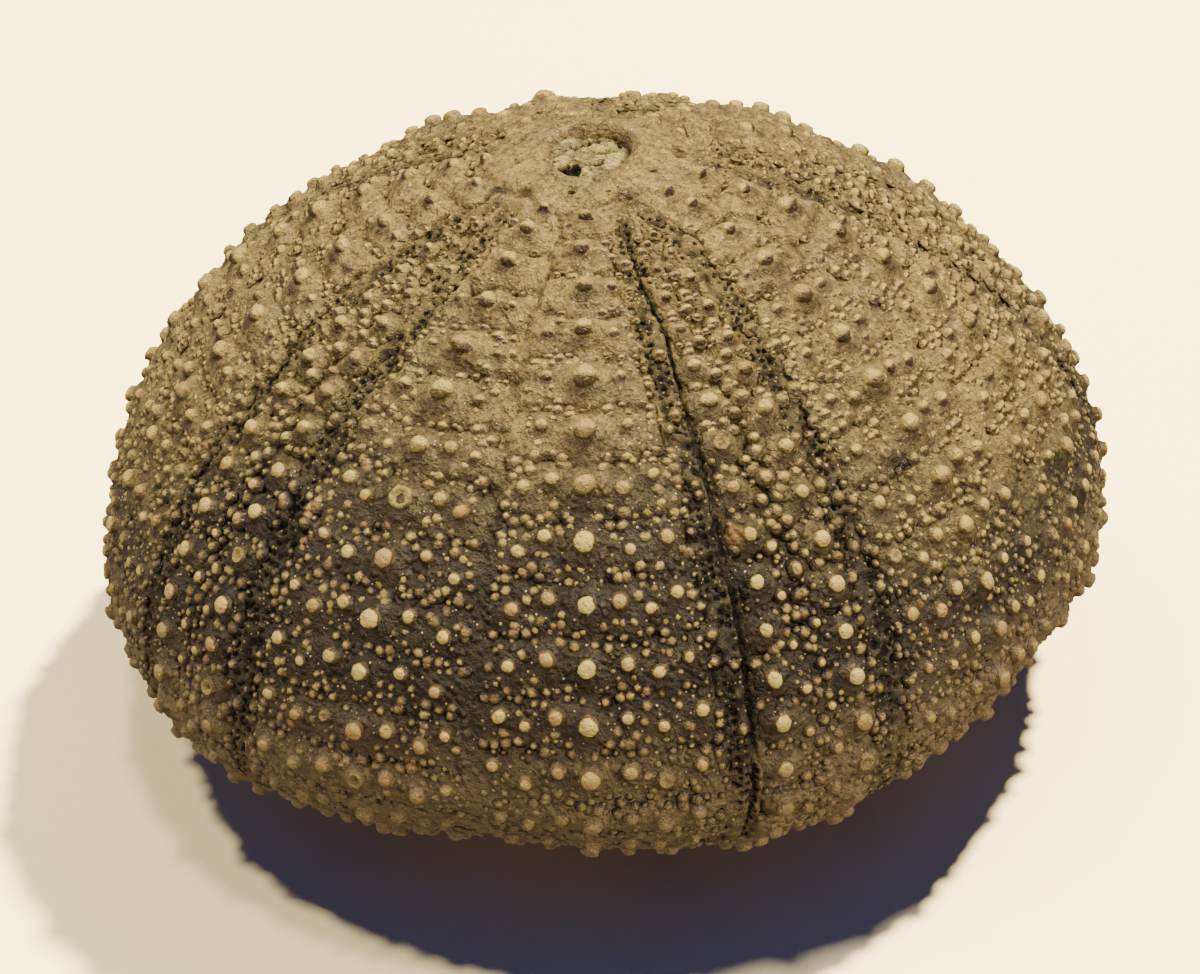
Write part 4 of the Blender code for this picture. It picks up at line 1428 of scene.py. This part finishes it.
class BandOperator(bpy.types.Operator):
    """Build the ten pore bands"""

    bl_idname = "urchin.pore_bands"
    bl_label = "Pore Bands"

    def execute(self, context):
        scene = context.scene
        finish_piece(make_pore_bands(scene.urchin), "pore_bands", band_finish(scene.urchin_colours))
        return {"FINISHED"}


class TubercleOperator(bpy.types.Operator):
    """Build the primary tubercles, the secondary ones and the granules"""

    bl_idname = "urchin.tubercles"
    bl_label = "Tubercles"

    def execute(self, context):
        settings, colours = context.scene.urchin, context.scene.urchin_colours
        primaries, secondaries, granules = all_sites(settings.seed)
        rng = np.random.default_rng(settings.seed + 2)
        wobble = settings.knob_wobble
        granule = knob_finish("granule", colours, 0.48, 1.0, 0.68, 0.55)
        groups = [
            ("primary_tubercles", primaries, PRIMARY_PROFILE, settings.primary_sides, wobble,
             knob_finish("primary_knob", colours, 0.7, 0.86, 1.0)),
            ("secondary_tubercles", secondaries, SECONDARY_PROFILE, SECONDARY_SIDES, wobble,
             knob_finish("secondary_knob", colours, 0.64, 0.86, 0.95)),
        ]
        zone = np.digitize(granules[:, 0], GRANULE_ZONES)
        for number, name in enumerate(("granules_upper", "granules_middle", "granules_lower")):
            sites = granules[zone == number]
            groups.append((name, sites, GRANULE_PROFILE, GRANULE_SIDES, GRANULE_WOBBLE, granule))
        for name, sites, profile, sides, unevenness, material in groups:
            finish_piece(knob_mesh(name, sites, profile, sides, rng, unevenness), name, material)
        return {"FINISHED"}


class FillOperator(bpy.types.Operator):
    """Build the crust in the apical pit"""

    bl_idname = "urchin.apical_fill"
    bl_label = "Apical Fill"

    def execute(self, context):
        scene = context.scene
        material = fill_finish(scene.urchin_colours)
        finish_piece(make_fill(scene.urchin), "apical_crust", material, "periproct_fill")
        return {"FINISHED"}


class StageOperator(bpy.types.Operator):
    """Lay the pale floor and set the camera and the lights"""

    bl_idname = "urchin.stage"
    bl_label = "Floor, Lights and Camera"

    def execute(self, context):
        scene = context.scene
        floor = lay_floor(scene)
        set_lights(scene, floor)
        scene.world = soft_room()
        scene.camera = set_camera(scene)
        return {"FINISHED"}


def lay_floor(scene):
    """The pale floor, which turns up far behind the urchin."""
    bm = spin_round(FLOOR_PROFILE, FLOOR_SIDES)
    turn_outwards(bm)
    for face in bm.faces:
        face.smooth = True
    floor = bpy.data.objects.new("pale_floor", mesh_of(bm, "pale_floor"))
    scene.collection.objects.link(floor)
    floor.data.materials.append(floor_finish(scene.urchin_colours))
    floor.visible_diffuse = floor.visible_glossy = False
    return floor


def set_lights(scene, floor):
    """The lamps, some of which light only the floor or only the urchin."""
    groups = {name: bpy.data.collections.new(f"{name}_only") for name in ("floor", "urchin")}
    groups["floor"].objects.link(floor)
    for name, direction, distance, power, size, colour, lit in LIGHTS:
        lamp = bpy.data.lights.new(name, "AREA")
        lamp.shape, lamp.size, lamp.energy, lamp.color = "DISK", size, power, colour
        light = bpy.data.objects.new(name, lamp)
        toward = Vector(direction).normalized()
        light.location = toward * distance
        light.rotation_euler = toward.to_track_quat("Z", "Y").to_euler()
        scene.collection.objects.link(light)
        if lit in groups:
            light.light_linking.receiver_collection = groups[lit]


def soft_room():
    """A world that is bluish and dim above the horizon and warm below it."""
    world = bpy.data.worlds.new("soft_room")
    world.use_nodes = True
    nodes = Nodes(world.node_tree)
    direction = nodes.node("ShaderNodeTexCoord", output="Generated")
    up = nodes.node("ShaderNodeSeparateXYZ", None, {0: direction}, output="Z")
    rise = nodes.node("ShaderNodeMapRange", None, {"Value": up, "From Min": -0.3, "From Max": 0.03})
    nodes.feed(nodes.tree.nodes["Background"].inputs["Color"], nodes.mix(rise, ROOM_BELOW, ROOM_ABOVE))
    return world


def set_camera(scene):
    """The camera, aimed at the urchin's middle and rolled a little."""
    cos_around, sin_around = math.cos(CAMERA_AZIMUTH), math.sin(CAMERA_AZIMUTH)
    cos_up, sin_up = math.cos(CAMERA_ELEVATION), math.sin(CAMERA_ELEVATION)
    right = Vector((cos_around, sin_around, 0))
    back = Vector((sin_around * cos_up, -cos_around * cos_up, sin_up))
    up = back.cross(right)
    target = Vector((0, 0, BASE_DEPTH)) + up * CAMERA_RISE
    cos, sin = math.cos(CAMERA_ROLL), math.sin(CAMERA_ROLL)
    axes = Matrix((right * cos + up * sin, up * cos - right * sin, back)).transposed()
    data = bpy.data.cameras.new("view")
    data.lens, data.sensor_width, data.sensor_fit = CAMERA_LENS, 36.0, "HORIZONTAL"
    data.clip_start = 0.01
    camera = bpy.data.objects.new("view", data)
    camera.matrix_world = Matrix.Translation(target + back * CAMERA_DISTANCE) @ axes.to_4x4()
    scene.collection.objects.link(camera)
    return camera


class UrchinPanel(bpy.types.Panel):
    """Lists the urchin's pieces"""

    bl_idname = "VIEW3D_PT_urchin"
    bl_label = "Fossil Sea Urchin"
    bl_space_type = "VIEW_3D"
    bl_region_type = "UI"
    bl_category = "Urchin"

    def draw(self, context):
        layout = self.layout
        for group in (context.scene.urchin, context.scene.urchin_colours):
            box = layout.box()
            for name in group.__annotations__:
                box.prop(group, name)
        for operator in OPERATORS:
            layout.operator(operator.bl_idname)


OPERATORS = (StageOperator, SkinOperator, BandOperator, TubercleOperator, FillOperator)
CLASSES = (UrchinSettings, UrchinColours, *OPERATORS, UrchinPanel)


def register():
    """Add the classes and the scene's settings."""
    for cls in CLASSES:
        bpy.utils.register_class(cls)
    bpy.types.Scene.urchin = bpy.props.PointerProperty(type=UrchinSettings)
    bpy.types.Scene.urchin_colours = bpy.props.PointerProperty(type=UrchinColours)


def unregister():
    """Remove what register added."""
    del bpy.types.Scene.urchin_colours
    del bpy.types.Scene.urchin
    for cls in reversed(CLASSES):
        bpy.utils.unregister_class(cls)


def main():
    """Build the stage and every piece."""
    register()
    bpy.ops.urchin.stage()
    bpy.ops.urchin.skin()
    bpy.ops.urchin.pore_bands()
    bpy.ops.urchin.tubercles()
    bpy.ops.urchin.apical_fill()
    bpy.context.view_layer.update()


if __name__ == "__main__":
    main()
